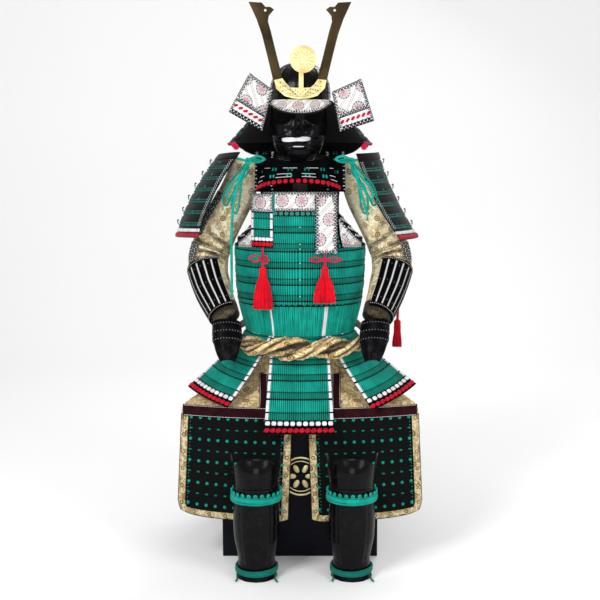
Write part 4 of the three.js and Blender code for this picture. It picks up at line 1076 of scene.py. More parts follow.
def build_skirts():
    """Four laced skirt panels with a white and a red row of knots along the foot."""
    away = lambda p: vec(p[:, 0], p[:, 1], 60)
    for name, start, end, a, b, bow, out in SKIRTS:
        shell = Shell()
        S = skirt(start, end, a, b, bow, out)
        length = 262.0
        laced(shell, S, lacing(length, 0.72, 27.0), away, thick=1.4, white=8.5, fine=name != "back")
        bead_row(shell, S, 1 - 20.2 / length, 15.4, 6.6, 5.9, 3.4, WHITE, away, 0.7, 0.55, 3.4)
        bead_row(shell, S, 1 - 7.0 / length, 13.4, 7.6, 6.2, 4.2, RED, away, 0.7, 0.55, 2.4, 0.0, 0.35)
        shell.build(f"laced_skirt_{name}", mats(*WOVEN), [f"skirt_{name}"])


# Sash.


def build_sash():
    """Twisted brocade sash in front and its gathered stretch behind."""
    shell = Shell()
    steps, sides = 130, 40
    t = np.linspace(0, 1, steps + 1)
    angle = mix(-52, 52, t)
    s, c = np.sin(rad(angle)), np.cos(rad(angle))
    centre = vec(200 * power(s, 2 / 2.2), -208.9 * power(c, 2 / 2.2), 577 + 0 * t)
    out = unit(centre * [1, 1, 0])
    full = np.sin(np.pi * mix(0.17, 0.83, t)) ** 0.7
    up = np.array([0, 0, 1.0])
    for turn in (0.6, 0.6 + math.pi):
        spin = turn + 2 * np.pi * 1.6 * t
        mid = centre + out * (13 * full * np.cos(spin))[:, None] + up * (15 * full * np.sin(spin))[:, None]
        lump = 1 + 0.06 * np.sin(9 * spin) + 0.03 * np.sin(23 * spin + turn)
        a = 2 * np.pi * np.arange(sides + 1) / sides
        twist = a[None] - 1.1 * spin[:, None]
        fold = -np.abs(np.sin(1.5 * twist + 0.9 * np.sin(7 * t)[:, None])) ** 5 * 0.22
        fold = fold - np.abs(np.sin(2.5 * twist + 2 + 9 * t[:, None])) ** 8 * 0.16
        r = full[:, None] * lump[:, None] * (1 + fold)
        ring = out[:, None] * (17.6 * r * np.cos(a)[None])[..., None]
        ring = ring + up * (18.6 * r * np.sin(a)[None])[..., None]
        pts = mid[:, None] + ring
        uv = np.stack(np.broadcast_arrays(a[None] * 17.5, t[:, None] * 340 + a[None] * 6), -1)
        # Painted shade: the strands darken in their folds and where they press against each other, and the
        # crests are lifted above the cloth's own colour as painted light.
        strand_contact_shade = smooth(-np.cos(a[None] - spin[:, None]), -0.1, 0.85)
        dark = np.clip(1.2 + 3.9 * fold - 0.85 * strand_contact_shade, 0.08, 1.2)
        tint = toned(dark, 0.5, (1, 0.88, 0.68))
        faces = quads(steps + 1, sides + 1).tolist()
        faces += [list(range(sides))[::-1], [steps * (sides + 1) + i for i in range(sides)]]
        shell.add(pts.reshape(-1, 3), faces, uv.reshape(-1, 2), tint.reshape(-1, 4))
    shell.build("twisted_sash", mats("brocade"), ["sash_twist"], 60)
    shell = Shell()

    def S(u, v):
        angle = mix(62, 298, u)
        s, c = np.sin(rad(angle)), np.cos(rad(angle))
        end = smooth(np.abs(angle - 180) / 118, 0.7, 1)
        a = mix(170, 191, end)
        back = np.where(c < 0, -2, -3)
        return vec(a * power(s, 0.9), -(a + back) * power(c, 0.9), mix(610, 588, v) - 9 * end)

    us, vs, U, V = grid(200, 22)
    pleat = 2.4 + 1.3 * np.sin(V * 19 + 2.2 * np.sin(U * 13) + U * 30) + 0.5 * np.sin(V * 31 - U * 21)
    pleat = pleat * np.sin(np.pi * np.clip(V * 0.94 + 0.03, 0, 1)) ** 0.5
    # Painted shade in the hollows of the pleats.
    shade = np.clip(0.55 + 0.16 * pleat, 0.5, 1)
    tint = toned(shade, 0.5)
    skin(shell, S, us, vs, pleat, 1.6, level=True, tint=tint, inner=3)
    o = shell.build("sash_round_back", mats("brocade"), ["sash_back"], 60)


# Thigh apron.


def band_line(x):
    """Depth of the apron's foot, across its width."""
    return -236 + 45 * (np.maximum(np.abs(x) - 50, 0) / 270) ** 2


def apron(u, v):
    """Surface of the apron, from the sash down over the lid's front."""
    k = 2 * np.asarray(u, float) - 1
    t = np.clip(v, 0, 1)
    top = vec(138 * np.sin(rad(76 * k)), -146 * np.cos(rad(76 * k)), 584)
    x = 315 * k
    low = vec(x, band_line(x), 412)
    c1 = vec(top[..., 0] * 1.12, top[..., 1] * 1.1, 454)
    c2 = vec(x * 0.985, band_line(x) + 5, 443.5 + 8 * np.abs(k))
    t = t[..., None]
    p = top * (1 - t) ** 3 + c1 * 3 * t * (1 - t) ** 2 + c2 * 3 * t**2 * (1 - t) + low * t**3
    p[..., 2] -= np.where(v > 1, (v - 1) * 100, 0) + np.where(v < 0, v * 100, 0)
    return p


# Creases of the apron: from u, v to u, v, width across and depth in millimetres.
APRON_FOLDS = (
    (0.30, 0.30, 0.17, 0.97, 0.020, -1.7),
    (0.27, 0.42, 0.10, 0.93, 0.016, -1.3),
    (0.33, 0.55, 0.30, 0.98, 0.014, -1.1),
    (0.22, 0.62, 0.24, 0.90, 0.018, 1.2),
    (0.71, 0.32, 0.82, 0.96, 0.021, -1.8),
    (0.74, 0.48, 0.93, 0.90, 0.015, -1.2),
    (0.67, 0.60, 0.69, 0.97, 0.013, -1.0),
    (0.79, 0.58, 0.76, 0.93, 0.017, 1.3),
    (0.05, 0.70, 0.08, 0.99, 0.012, -0.9),
    (0.96, 0.66, 0.93, 0.99, 0.012, -1.0),
)


def creases(U, V, folds):
    """Soft troughs and ridges along lines in cloth coordinates."""
    total = np.zeros_like(U)
    for u0, v0, u1, v1, w, d in folds:
        du, dv = u1 - u0, v1 - v0
        t = np.clip(((U - u0) * du + (V - v0) * dv) / (du * du + dv * dv), 0, 1)
        gap = np.hypot(U - u0 - du * t, V - v0 - dv * t)
        total += d * np.exp(-((gap / w) ** 2)) * np.sin(np.pi * np.clip(0.12 + 0.8 * t, 0, 1)) ** 0.7
    return total


def thigh(s):
    """Surface of one studded thigh panel."""
    def S(u, v):
        drop = mix(125, 137, u) + 10 * (2 * u - 1) ** 8
        z = mix(411.4, drop, v)
        pull = 8 * np.maximum(0, v - 0.93) / 0.07
        x = mix(mix(21, 32, v), mix(315, 326, v) - pull, u)
        return vec(s * x, band_line(x) - 42 * v + 3 * v * np.sin(u * 7), z)

    return S


def forwards(p):
    return vec(p[:, 0] * 0.4, -200, 60)


def stitches(shell, S, path, step, away, lift, size=(2.4, 0.9, 0.9), mat=1, colour=None):
    """Adds short stitches along a line of cloth coordinates."""
    path = np.array(path, float)
    fine = np.linspace(0, 1, 200)
    marks = np.linspace(0, 1, len(path))
    u, v = (np.interp(fine, marks, path[:, k]) for k in (0, 1))
    p = S(u, v)
    run = np.concatenate([[0], np.cumsum(np.linalg.norm(np.diff(p, axis=0), axis=1))])
    n = max(2, int(run[-1] / step))
    t = (np.arange(n) + 0.5) / n * run[-1]
    u, v = np.interp(t, run, u), np.interp(t, run, v)
    q, out, _ = on(S, u, v, lift, away)
    along = np.stack([np.interp(t + 1, run, p[:, k]) - np.interp(t - 1, run, p[:, k]) for k in range(3)], 1)
    domes(shell, q, out, along, *size, rgba(colour or WHITE, DULL), mat, 6)


def build_apron():
    """Brocade apron over the lap, its brown bands and the two studded thigh panels."""
    shell = Shell()
    us, vs, U, V = grid(150, 76)
    drop = creases(U, V, APRON_FOLDS) * np.sin(np.pi * np.clip(V, 0.03, 0.97)) ** 0.3
    # Painted shade in the creases of the cloth.
    shade = np.clip(0.94 + 0.16 * drop, 0.5, 1)
    tint = toned(shade, DULL, (1, 0.92, 0.76))
    skin(shell, apron, us, vs, 1.0 + drop, 1.0, forwards, tint=tint, inner=24)
    o = shell.build("brocade_apron", mats("brocade"), ["thigh_apron_cloth"], 60)
    area = min(sizes_area(apron), 0.66 * 0.27)
    shell = Shell()

    def belt(u, v):
        x, z = 312 * (2 * u - 1), mix(426, 396, v)
        return vec(x, band_line(x) - 4.8 - 0.148 * np.maximum(411.4 - z, 0), z)

    brown = rgba(BLACK, 0.7)
    skin(
        shell, belt, np.linspace(0, 1, 90), [0, 0.04, 0.5, 0.96, 1], 1.2, 0.6, forwards, tint=brown, inner=2
    )
    for v in (0.06, 0.94):
        stitches(shell, belt, [(0.005, v), (0.995, v)], 4.2, forwards, 1.3, (1.5, 0.9, 0.9))
    for s in (-1, 1):

        def strip(u, v, s=s):
            v = mix(0.3, 0.93, v)
            half = apron(np.ones_like(v), v)[..., 0]
            x = s * mix(83, 98, (v - 0.3) / 0.63) + 22 * (u - 0.5)
            return apron(0.5 + 0.5 * x / half, v)

        us, vs = np.linspace(0, 1, 5), np.linspace(0, 1, 24)
        skin(shell, strip, us, vs, 2.4, -0.9, forwards, tint=brown, inner=12)
        for u in (0.1, 0.9):
            stitches(shell, strip, [(u, 0.01), (u, 0.99)], 4.2, forwards, 2.5, (1.5, 0.9, 0.9))
    shell.build("brown_stitched_bands", mats("band", "silk"), ["thigh_band"])
    for name, s in SIDES:
        S = thigh(s)
        shell = Shell()
        us, vs, U, V = grid(40, 40)
        dull = rgba((0.02, 0.022, 0.022), 0.5)
        skin(shell, S, us, vs, 1.2 + 0.5 * np.sin(V * 50) ** 2, 1.0, forwards, tint=dull, inner=6)
        shell.build(f"mail_panel_{name}", mats("mail"), [f"thigh_panel_{name}"])
        shell = Shell()
        for k in range(9):
            v = 0.07 + 0.103 * k
            big = k % 2 == 0
            u = (20 + 24.6 * np.arange(11)) / 293
            p, out, along = on(S, u, np.full(11, v), 1.6, forwards)
            a, b = (4.6, 4.4) if big else (4.4, 2.4)
            tint = rgba(TEAL, DULL, 0.62 if big else 0.52)
            domes(shell, p, out, along, a, b, 2.0, tint, 0, 10, 2.4)
            # Each large knot gets a smaller, brighter dome on top as a painted highlight.
            if big:
                bright = rgba(TEAL, DULL, 1.15)
                domes(shell, p + out * 1.2, out, along, 2.4, 2.0, 1.4, bright, 0, 8)
        for u in (0.085, 0.915):
            stitches(shell, S, [(u, 0.03), (u, 0.93)], 9.0, forwards, 2.0, (1.3, 1.3, 1.2), 0, TEAL)
        shell.build(f"lacing_knots_{name}", mats("silk"))
        shell = Shell()
        for u0, u1, v0, v1 in ((0.0, 0.062, 0.0, 1.0), (0.938, 1.0, 0.0, 1.0), (0.03, 0.97, 0.945, 1.0)):
            if v0 and name:
                u0, u1 = 0.062, 0.938
            part = lambda u, v, q=(u0, u1, v0, v1): S(mix(q[0], q[1], u), mix(q[2], q[3], v))
            wide = np.linspace(0, 1, 7 if not v0 else 80)
            tall = np.linspace(0, 1, 80 if not v0 else 7)
            U, V = np.meshgrid(wide, tall)
            across, run = (V, U) if v0 else (U, V)
            h = 1.6 + 1.7 * np.sin(np.pi * np.clip(across, 0.02, 0.98)) ** 0.5
            h = h + 0.35 * np.sin(run * 47 + u0 * 9) * across * (1 - across)
            # Painted shade: the rolled border is darker towards its edges and lighter along its crest.
            shade = np.clip(0.46 + 0.1 * h, 0.35, 0.86)
            tint = toned(shade, DULL, (1, 0.95, 0.85))
            skin(shell, part, wide, tall, h, -1.0, forwards, tint=tint, inner=10)
            ring = 2 * np.pi * np.arange(13) / 12
            for c in (np.arange(6) + 0.5) / 6:
                place = np.array([[c, 0.5] if v0 else [0.5, c]])
                mid, out, row = on(part, place[:, 0], place[:, 1], 3.4, forwards)
                other = np.cross(out, row)
                circle = mid + 4.4 * (row * np.cos(ring)[:, None] + other * np.sin(ring)[:, None])
                tube(shell, circle, 0.9, rgba((0.09, 0.05, 0.03), DULL), 1, 5)
        rim = [(0.0, 0.0), (0.0, 1.0), (0.5, 1.0), (1.0, 1.0), (1.0, 0.0)]
        pts = []
        for (a, b), (c, d) in zip(rim, rim[1:]):
            t = np.linspace(0, 1, 24)[:-1]
            pts.append(S(mix(a, c, t), mix(b, d, t)))
        tube(shell, np.concatenate(pts), 2.3, rgba(BLACK, 0.5), 1, 6)
        shell.build(f"panel_borders_{name}", mats("brocade", "silk"), angle=60)


def sizes_area(S):
    """Area of a surface in square metres."""
    t = np.linspace(0, 1, 60)
    u, v = (a.ravel() for a in np.meshgrid(t, t))
    p = S(u, v).reshape(60, 60, 3) * MM
    a, b, c, d = p[:-1, :-1], p[:-1, 1:], p[1:, :-1], p[1:, 1:]
    one = np.linalg.norm(np.cross(b - a, c - a), axis=-1).sum() / 2
    return float(one + np.linalg.norm(np.cross(b - d, c - d), axis=-1).sum() / 2)


# Legs.

SHIN = (
    (0, 54, 50), (12, 47, 46), (29, 43.5, 44), (60, 48, 46), (105, 57, 50), (150, 59, 52), (195, 58, 52),
    (246, 55, 50),
)
KNEE = ((246, 56, 51), (270, 58, 55), (300, 59, 54), (334, 60, 45))
SHINS = (("right", -113, -322.9), ("left", 134, -321.1))


def soft_look(rows, x, reach):
    """Like look, with its corners rounded off over the reach."""
    low, high = rows[0][0], rows[-1][0]
    parts = [look(rows, np.clip(x + d * reach, low, high)) for d in (-1, -0.5, 0, 0.5, 1)]
    return [sum(p[k] for p in parts) / 5 for k in range(len(parts[0]))]


def build_legs():
    """Shin guards of three joined plates, winged knee plates and the silk ties."""
    for name, cx, cy in SHINS:
        axis = lambda p, cx=cx, cy=cy: (p - [cx, cy, 0]) * [1, 1, 0]

        def oval(a, b, angle, z, cx=cx, cy=cy):
            return vec(cx + a * np.sin(rad(angle)), cy - b * np.cos(rad(angle)), z)

        def shin(u, v):
            z = mix(246, 0.02, v)
            a, b = soft_look(SHIN, z, 7)
            return oval(a, b, mix(-118, 118, u), z)

        shell = Shell()
        us, vs, U, V = grid(109, 80)
        mid = smooth(U, 0.335, 0.35) * (1 - smooth(U, 0.65, 0.665))
        h = 1.2 + 1.4 * mid + 1.6 * (1 - smooth(V, 0.03, 0.045))
        h = h + 1.0 * bump(U - 0.5, 0.012) * smooth(V, 0.05, 0.2)
        skin(shell, shin, us, vs, h, 1.6, axis, True, rgba(BLACK, 0.2), 0)
        u = np.repeat([0.31, 0.375, 0.625, 0.69], 6)
        v = np.tile(np.linspace(0.12, 0.92, 6), 4)
        p, out, along = on(shin, u, v, 2.0, axis)
        domes(shell, p, out, along, 1.5, 1.5, 1.2, rgba(BLACK, 0.2), 0, 8)
        shell.build(f"lacquered_shin_{name}", mats("gloss"), [f"shin_guard_{name}"], 50)

        def knee(u, v):
            k = 2 * u - 1
            w = np.abs(k)
            wing = 32 * smooth(w, 0.74, 0.95)
            z = mix(328 - 26 * smooth(w, 0.2, 0.72) + wing, 246 + GAP, v)
            a, b = soft_look(KNEE, z, 11)
            flare = 1 + 0.1 * wing / 32 * (1 - v)
            swell = 7 * np.sin(np.pi * np.clip(v, 0, 1)) * (1 - w * w)
            return oval(a * flare, b + swell, mix(-100, 100, u), z)

        shell = Shell()
        us, vs, U, V = grid(121, 50)
        lip = 0.9 * (1 - smooth(V, 0.0, 0.05)) + 0.8 * bump(V - 0.93, 0.02)
        skin(shell, knee, us, vs, 1.4 + lip, 1.4, axis, True, rgba(BLACK, 0.2), 0)
        shell.build(f"lacquered_knee_{name}", mats("gloss"), [f"knee_guard_{name}"], 50)
        for place, z0, z1, a, b, colour in (
            ("upper", 204, 238, 62.6, 56, TEAL),
            ("lower", 12, 31, 51.5, 51.5, np.array(TEAL) * 0.5),
        ):
            shell = Shell()
            angle = np.linspace(0, 360, 73)
            n = 3 if place == "upper" else 4
            top = z1 - 12 if place == "upper" else z1
            for k in range(n):
                z = mix(z0 + 2.8, top - 2.8, (k + 0.5) / n)
                wave = z + 0.9 * np.sin(rad(angle) * (1 + k % 2) + 2.1 * k)
                r = 0.9 + 0.6 * (k % 2) + 0.4 * np.sin(rad(angle) * 3 + k)
                tint = rgba(colour, DULL, 0.8 + 0.12 * (k % 3))
                tube(shell, oval(a + r, b + r, angle, np.clip(wave, z0 + 2.8, z1 - 2.8)), 3.3, tint, 0, 8)
            if place == "upper":
                t = 360 * np.arange(23) / 23
                q = oval(a + 0.4, b + 0.4, t, z1 - 7.5 + 0 * t)
                out = unit((q - [cx, cy, 0]) * [1, 1, 0])
                dark = rgba(colour, DULL, 0.35)
                domes(shell, q, out, [0, 0, 1.0], 5.4, 5.2, 3.4, rgba(colour, DULL), 0, 10, 2.2)
                domes(shell, q + out * 2.6, out, [0, 0, 1.0], 2.6, 2.2, 1.4, dark, 0, 8)
                tube(
                    shell, oval(a + 0.6, b + 0.6, angle, z1 - 13.5 + 0 * angle), 2.6, rgba(DEEP, DULL), 0, 8
                )
            for s, long in ((-1, 34), (1, 40)) if place == "lower" else ():
                q = [oval(a + 2, b + 2, s * 58, z0 + 7), oval(a + 5, b + 5, s * 62, 12)]
                q += [oval(a + 10, b + 13, s * 52, 6), oval(a + long * 0.6, b + long * 0.7, s * 46, 4.4)]
                tube(shell, Line(q).even(4), 3.0, rgba(colour, DULL), 0, 8, 0.6)
            shell.build(f"silk_tie_{place}_{name}", mats("silk"), [f"shin_tie_{place}_{name}"])


# Arms.

ARM = (
    (-140, 10, 1062, 41, 46),
    (-180, 5, 960, 48, 52),
    (-228, -3, 868, 51, 56),
    (-253, -22, 793, 52, 56),
    (-236, -76, 722, 45, 48),
    (-196, -146, 650, 35, 36),
)


def arm(s):
    """Surface of one sleeve round its bent middle line, and the way out of it."""
    wrist = 6 if s > 0 else 0
    line = Line([(s * (-x + (wrist if i == 5 else 0)), y, z) for i, (x, y, z, _, _) in enumerate(ARM)])
    sizes_at = [(i / 5, r[3], r[4]) for i, r in enumerate(ARM)]

    def S(u, v):
        k = np.clip(v, 0, 1)
        c, along = line.at(k), line.along(np.clip(k, 0.002, 0.998))
        c = c + along * ((v - k) * 420)[..., None]
        side = np.array([s, 0, 0.0]) - s * along * along[..., :1]
        side = unit(side)
        front = unit(np.cross(along, side))
        front = np.where(front[..., 1:2] > 0, -front, front)
        a, b = look(sizes_at, k)
        angle = rad(360 * u)
        return c + side * (a * np.cos(angle))[..., None] + front * (b * np.sin(angle))[..., None]

    path = Line([(-s * x, y, z) for x, y, z, _, _ in ARM]).at(np.linspace(0, 1, 61))

    def away(p):
        near = np.argmin(np.linalg.norm(p[:, None] - path[None], axis=2), 1)
        return p - path[near]

    return S, away


# Wrinkles of a sleeve: most gather at the inside of the elbow.
SLEEVE_FOLDS = (
    (0.08, 0.50, 0.44, 0.56, 0.016, -6.0),
    (0.12, 0.575, 0.42, 0.60, 0.014, -5.6),
    (0.05, 0.635, 0.36, 0.655, 0.014, -4.6),
    (0.18, 0.43, 0.48, 0.475, 0.016, -4.8),
    (0.26, 0.535, 0.50, 0.515, 0.011, -3.6),
    (0.24, 0.61, 0.47, 0.64, 0.012, -3.8),
    (0.10, 0.538, 0.40, 0.58, 0.012, 2.4),
    (0.14, 0.465, 0.44, 0.515, 0.012, 2.0),
    (0.15, 0.33, 0.36, 0.41, 0.022, -3.0),
    (0.17, 0.37, 0.34, 0.45, 0.014, 1.9),
    (0.30, 0.10, 0.23, 0.34, 0.022, -2.8),
    (0.40, 0.08, 0.36, 0.28, 0.020, 2.0),
    (0.08, 0.14, 0.15, 0.38, 0.024, -2.6),
    (0.19, 0.08, 0.20, 0.26, 0.016, 1.7),
    (0.55, 0.50, 0.86, 0.55, 0.020, -3.6),
    (0.60, 0.60, 0.90, 0.62, 0.018, -3.0),
    (0.58, 0.44, 0.80, 0.46, 0.018, -2.4),
    (0.70, 0.18, 0.62, 0.42, 0.024, -2.6),
    (0.86, 0.26, 0.80, 0.46, 0.022, 2.0),
    (0.34, 0.68, 0.30, 0.92, 0.018, -2.0),
    (0.42, 0.70, 0.44, 0.86, 0.016, -1.8),
    (0.72, 0.72, 0.76, 0.92, 0.020, -1.9),
)


def build_arms():
    """Brocade sleeves with mail patches, splinted forearms and iron hand guards."""
    for name, s in SIDES:
        S, away = arm(s)
        shell = Shell()
        us, vs, U, V = grid(121, 150)
        fold = sum(creases(U + k, V, SLEEVE_FOLDS) for k in (-1, 0, 1))
        ripple = 0.7 * np.sin(V * 41 + 2 * np.sin(U * 6.283 * 2)) * bump(V - 0.55, 0.22)
        ends = smooth(V, 0.0, 0.04) * (1 - smooth(V, 0.95, 1.0))
        h = 1.6 + (fold + ripple + 0.9) * ends
        # Painted light and shade: the sleeve is lifted above its cloth's colour, most on the upper sleeve
        # where the shields' shadow falls, and darkened in its folds and ripples.
        shade = 1.16 + 0.26 * (fold + ripple) + 0.5 * (1 - smooth(V, 0.3, 0.5))
        shade = np.clip(shade, 0.14, 1.7)
        shade = np.where(V > 0.945, 0.05, shade)
        tint = toned(shade, 0.5)
        skin(shell, S, us, vs, h, 1.2, away, tint=tint, inner=30)
        o = shell.build(f"brocade_sleeve_{name}", mats("brocade"), [f"sleeve_{name}"], 60)
        flat = (0.335, 0.585)
        area = min(sizes_area(S), flat[0] * flat[1])
        shell = Shell()
        for u0, u1, v0, v1 in ((-0.1, 0.15, 0.2, 0.47), (-0.12, 0.17, 0.52, 0.64)):
            patch = lambda u, v, q=(u0, u1, v0, v1): S(mix(q[0], q[1], u), mix(q[2], q[3], v))
            us, vs = np.linspace(0, 1, 26), np.linspace(0, 1, 30)
            skin(shell, patch, us, vs, 4.2, -2.2, away, tint=rgba((0.16, 0.16, 0.16), 0.4), inner=10)
            n = 90 if v0 > 0.5 else 150
            k = np.arange(n)
            p, out, along = on(patch, (k * 0.618) % 1, (k + 0.5) / n, 4.0, away)
            turned = unit(along + np.sin(k * 2.7)[:, None] * np.cross(out, along))
            dots = rgba(screen(210, 208, 198), 0.4) * np.where(k % 3, 1.0, 0.35)[:, None]
            domes(shell, p, out, turned, 1.3, 2.9, 1.2, dots, 1, 6)
            edge = [(0, 0), (1, 0), (1, 1), (0, 1), (0, 0)]
            stitches(shell, patch, edge, 3.6, away, 4.4, (1.6, 1.0, 1.0), 1, screen(190, 178, 140))
        shell.build(f"mail_patches_{name}", mats("mail", "silk"))
        shell = Shell()
        bars = 8

        def guard(u, v):
            u, v = mix(-0.13, 0.33, u), mix(0.66, 0.985, v)
            return S(u, v) + normals(S, u, v, away) * 7.5

        us = [0.0]
        for k in range(bars):
            us += [(k + f) / bars for f in (0.02, 0.07, 0.14, 0.3, 0.5, 0.7, 0.86, 0.93)]
        us = np.array(us + [1.0])
        vs = np.concatenate([[0, 0.06, 0.075], np.linspace(0.1, 0.9, 14), [0.925, 0.94, 1]])
        U, V = np.meshgrid(us, vs)
        f = (U * bars) % 1
        bar = (f > 0.1) & (f < 0.9)
        belt = (V < 0.07) | (V > 0.93)
        h = np.where(belt, 3.0, np.where(bar, 2.6 + 0.8 * np.sin(np.pi * f), 0.8))
        dark, pale = rgba(BLACK, SHINY), rgba(screen(206, 206, 202), 0.5)
        tint = np.where((bar | belt)[..., None], dark, pale)
        skin(shell, guard, us, vs, h, 0.9, away, tint=tint, mat=0, inner=5)
        for v in (0.03, 0.965):
            stitches(
                shell, guard, [(0.01, v), (0.99, v)], 5.0, away, 3.2, (1.5, 1.5, 1.0), 1,
                screen(170, 168, 160),
            )
        for k in range(bars):
            q = [0.16, 0.5, 0.84]
            p, out, along = on(guard, np.full(3, (k + 0.5) / bars), np.array(q), 3.3, away)
            domes(shell, p, out, along, 1.2, 1.2, 0.9, rgba(screen(120, 120, 122), SHINY), 0, 6)
        shell.build(
            f"forearm_bars_{name}", mats("plate", "silk"), [f"forearm_splints_{name}"], 30
        )
        build_hand(name, s)


def build_hand(name, s):
    """Iron hand guard of three lames and a scalloped finger plate."""
    wrist = np.array([s * (202 if s > 0 else 196), -156, 641.4 if s > 0 else 640])
    tip = np.array([s * 190, -222, 545.0])
    along = tip - wrist
    front = unit(np.array([0, along[2], -along[1]]))
    front = -front if front[1] > 0 else front

    def S(u, v):
        wide = np.interp(v, [-0.1, 0.15, 0.45, 0.8, 1.1], [33, 37, 38, 27, 13])
        angle = rad(mix(-96, 96, u))
        p = wrist + along * np.asarray(v)[..., None]
        p = p + front * (0.72 * wide * np.cos(angle) - 8 + 8 * v)[..., None]
        p[..., 0] += s * wide * np.sin(angle)
        return p

    shell = Shell()
    us, vs, U, V = grid(60, 80)
    steps = 3.2 - 0.7 * smooth(V, 0.11, 0.12) - 0.7 * smooth(V, 0.31, 0.32) - 0.6 * smooth(V, 0.51, 0.52)
    finger = 1.2 * np.abs(np.sin(np.pi * 4 * U)) * smooth(V, 0.55, 0.7)
    skin(
        shell, S, us, vs, steps + finger, 1.2, lambda p: np.broadcast_to(front, p.shape),
        tint=rgba(BLACK, 0.4), inner=8,
    )
    for v in (0.09, 0.29, 0.49):
        away = lambda p: np.broadcast_to(front, p.shape)
        stitches(
            shell, S, [(0.06, v), (0.94, v)], 7.0, away, 3.0, (1.4, 1.4, 1.0), 0, screen(130, 130, 132)
        )
    shell.build(f"iron_hand_guard_{name}", mats("iron"), [f"hand_guard_{name}"], 45)


# Shoulder shields.

SHIELDS = (
    ("right", ((-232, 120, 1076), (-359, 120, 841), (-271, -140, 864), (-158, -120, 1089)), 13),
    ("left", ((223, 120, 1084), (342, 120, 841), (266, -140, 858), (148, -120, 1085)), -12),
)


def shield(corners, bulge):
    """Surface of one shoulder shield between four corners, and the way out of it."""
    ub, lb, lf, uf = (np.array(c, float) for c in corners)
    out = unit(np.array([np.sign(ub[0]), -0.3, 0.35]))

    def S(u, v):
        u, v = np.asarray(u, float)[..., None], np.asarray(v, float)[..., None]
        p = mix(mix(ub, lb, v), mix(uf, lf, v), u)
        p = p + out * bulge * 4 * v * (1 - v)
        return p + np.array([np.sign(ub[0]), 0, 0]) * 13 * 4 * u * (1 - u)

    return S, facing(*out)


def build_shields():
    """Shoulder shields: six dark lames, thin teal lacing, white sides, a white and a red foot row."""
    for name, corners, bulge in SHIELDS:
        S, away = shield(corners, bulge)
        shell = Shell()
        rows = [("lame", 0.0, 0.075), ("gap", 0.075, 0.09)]
        for i in range(6):
            top = mix(0.09, 0.89, i / 6)
            rows += [
                ("lame", top, top + 0.072), ("line", top + 0.072, top + 0.083),
                ("gap", top + 0.083, top + 0.099),
            ]
            rows += [("line", top + 0.099, top + 0.11), ("gap", top + 0.11, top + 0.133)]
        rows += [("gap", 0.89, 1.0)]
        # The lacing's silk is dimmed to 0.8 as painted shade, for shields lying in shadow.
        laced(shell, S, rows, away, thick=1.6, white=0, cord=7.0, shade=0.8, fine=False)
        bead_row(shell, S, 0.918, 11.6, 4.8, 4.9, 2.8, WHITE, away, slant=0.35)
        bead_row(shell, S, 0.972, 11.6, 6.2, 6.0, 3.4, np.array(RED) * 0.75, away, slant=0.3)
        for u in (0.35, 0.65):
            v = np.repeat(mix(0.12, 0.86, np.arange(6) / 5), 2)
            p, out, along = on(S, u + np.tile([-0.012, 0.012], 6), v, 2.8, away)
            domes(shell, p, out, along, 1.8, 4.2, 1.4, rgba(DEEP, DULL), SILK, 6)
        v = np.repeat(mix(0.0, 1.0, np.arange(6) / 6) * 0.8 + 0.165, 2) + np.tile([0.0, 0.026], 6)
        p, out, along = on(S, np.tile([0.03, 0.045], 6), v, 3.0, away)
        domes(shell, p, out, along, 6.4, 2.2, 1.8, rgba(WHITE, DULL), SILK, 8)
        for v0 in mix(0.13, 0.86, np.arange(6) / 5):
            p, out, along = on(S, np.array([0.012]), np.array([v0]), 1.0, away)
            p, out, back = p[0], out[0], -along[0]
            rise = np.cross(out, along)[0]
            rise = rise if rise[2] > 0 else -rise
            hook = [(0, 0, 0), (3, 5, 0), (6, 8, 4), (9, 7, 9), (9, 3, 12), (6, 1, 11)]
            line = Line([p + out * a + back * b + rise * c for a, b, c in hook]).even(2)
            tube(shell, line, 1.6, rgba(BLACK, 0.5), SILK, 6)
            domes(shell, [p], unit(out + back), [rise], 3.4, 3.6, 4.6, rgba(WHITE, DULL), SILK, 8)
        for k, u in enumerate((0.93, 0.955, 0.98)):
            v = mix(0.1, 0.88, (np.arange(30) + 0.5 * (k % 2)) / 30)
            p, out, along = on(S, np.full(30, u), v, 2.8, away)
            domes(shell, p, out, along, 1.7, 1.7, 1.2, rgba(screen(176, 178, 180), 0.4), PLATE, 6)
        shell.build(f"dark_shield_{name}", mats(*WOVEN), [f"shoulder_shield_{name}"])


# Helmet.

BOWL_Y, BOWL_Z = -8.0, 1228.0


def bowl(angle, t, grow=0.0):
    ring = np.maximum(np.cos(t), 0) ** 0.8
    return vec(
        (82 + grow) * ring * np.sin(angle),
        BOWL_Y - (102 + grow) * ring * np.cos(angle),
        BOWL_Z + (98 + grow) * np.maximum(np.sin(t), 0) ** 0.8,
    )


def neck(u, v):
    start = mix(71, 62, v)
    angle = rad(mix(start, 360 - start, u))
    a = mix(82.6, 197, power(np.maximum(v, 0), 0.92))
    b = mix(102.7, 168, power(np.maximum(v, 0), 0.92))
    return vec(a * np.sin(angle), BOWL_Y - b * np.cos(angle), mix(1226, 1106, v))


WINGS = (
    ("right", ((-134, -52, 1297), (-72.4, -68, 1252), (-101.4, -72, 1144), (-191, -52, 1195))),
    ("left", ((163, -52, 1282), (85.4, -67.3, 1247), (107.4, -71.3, 1142), (199, -52, 1171))),
)


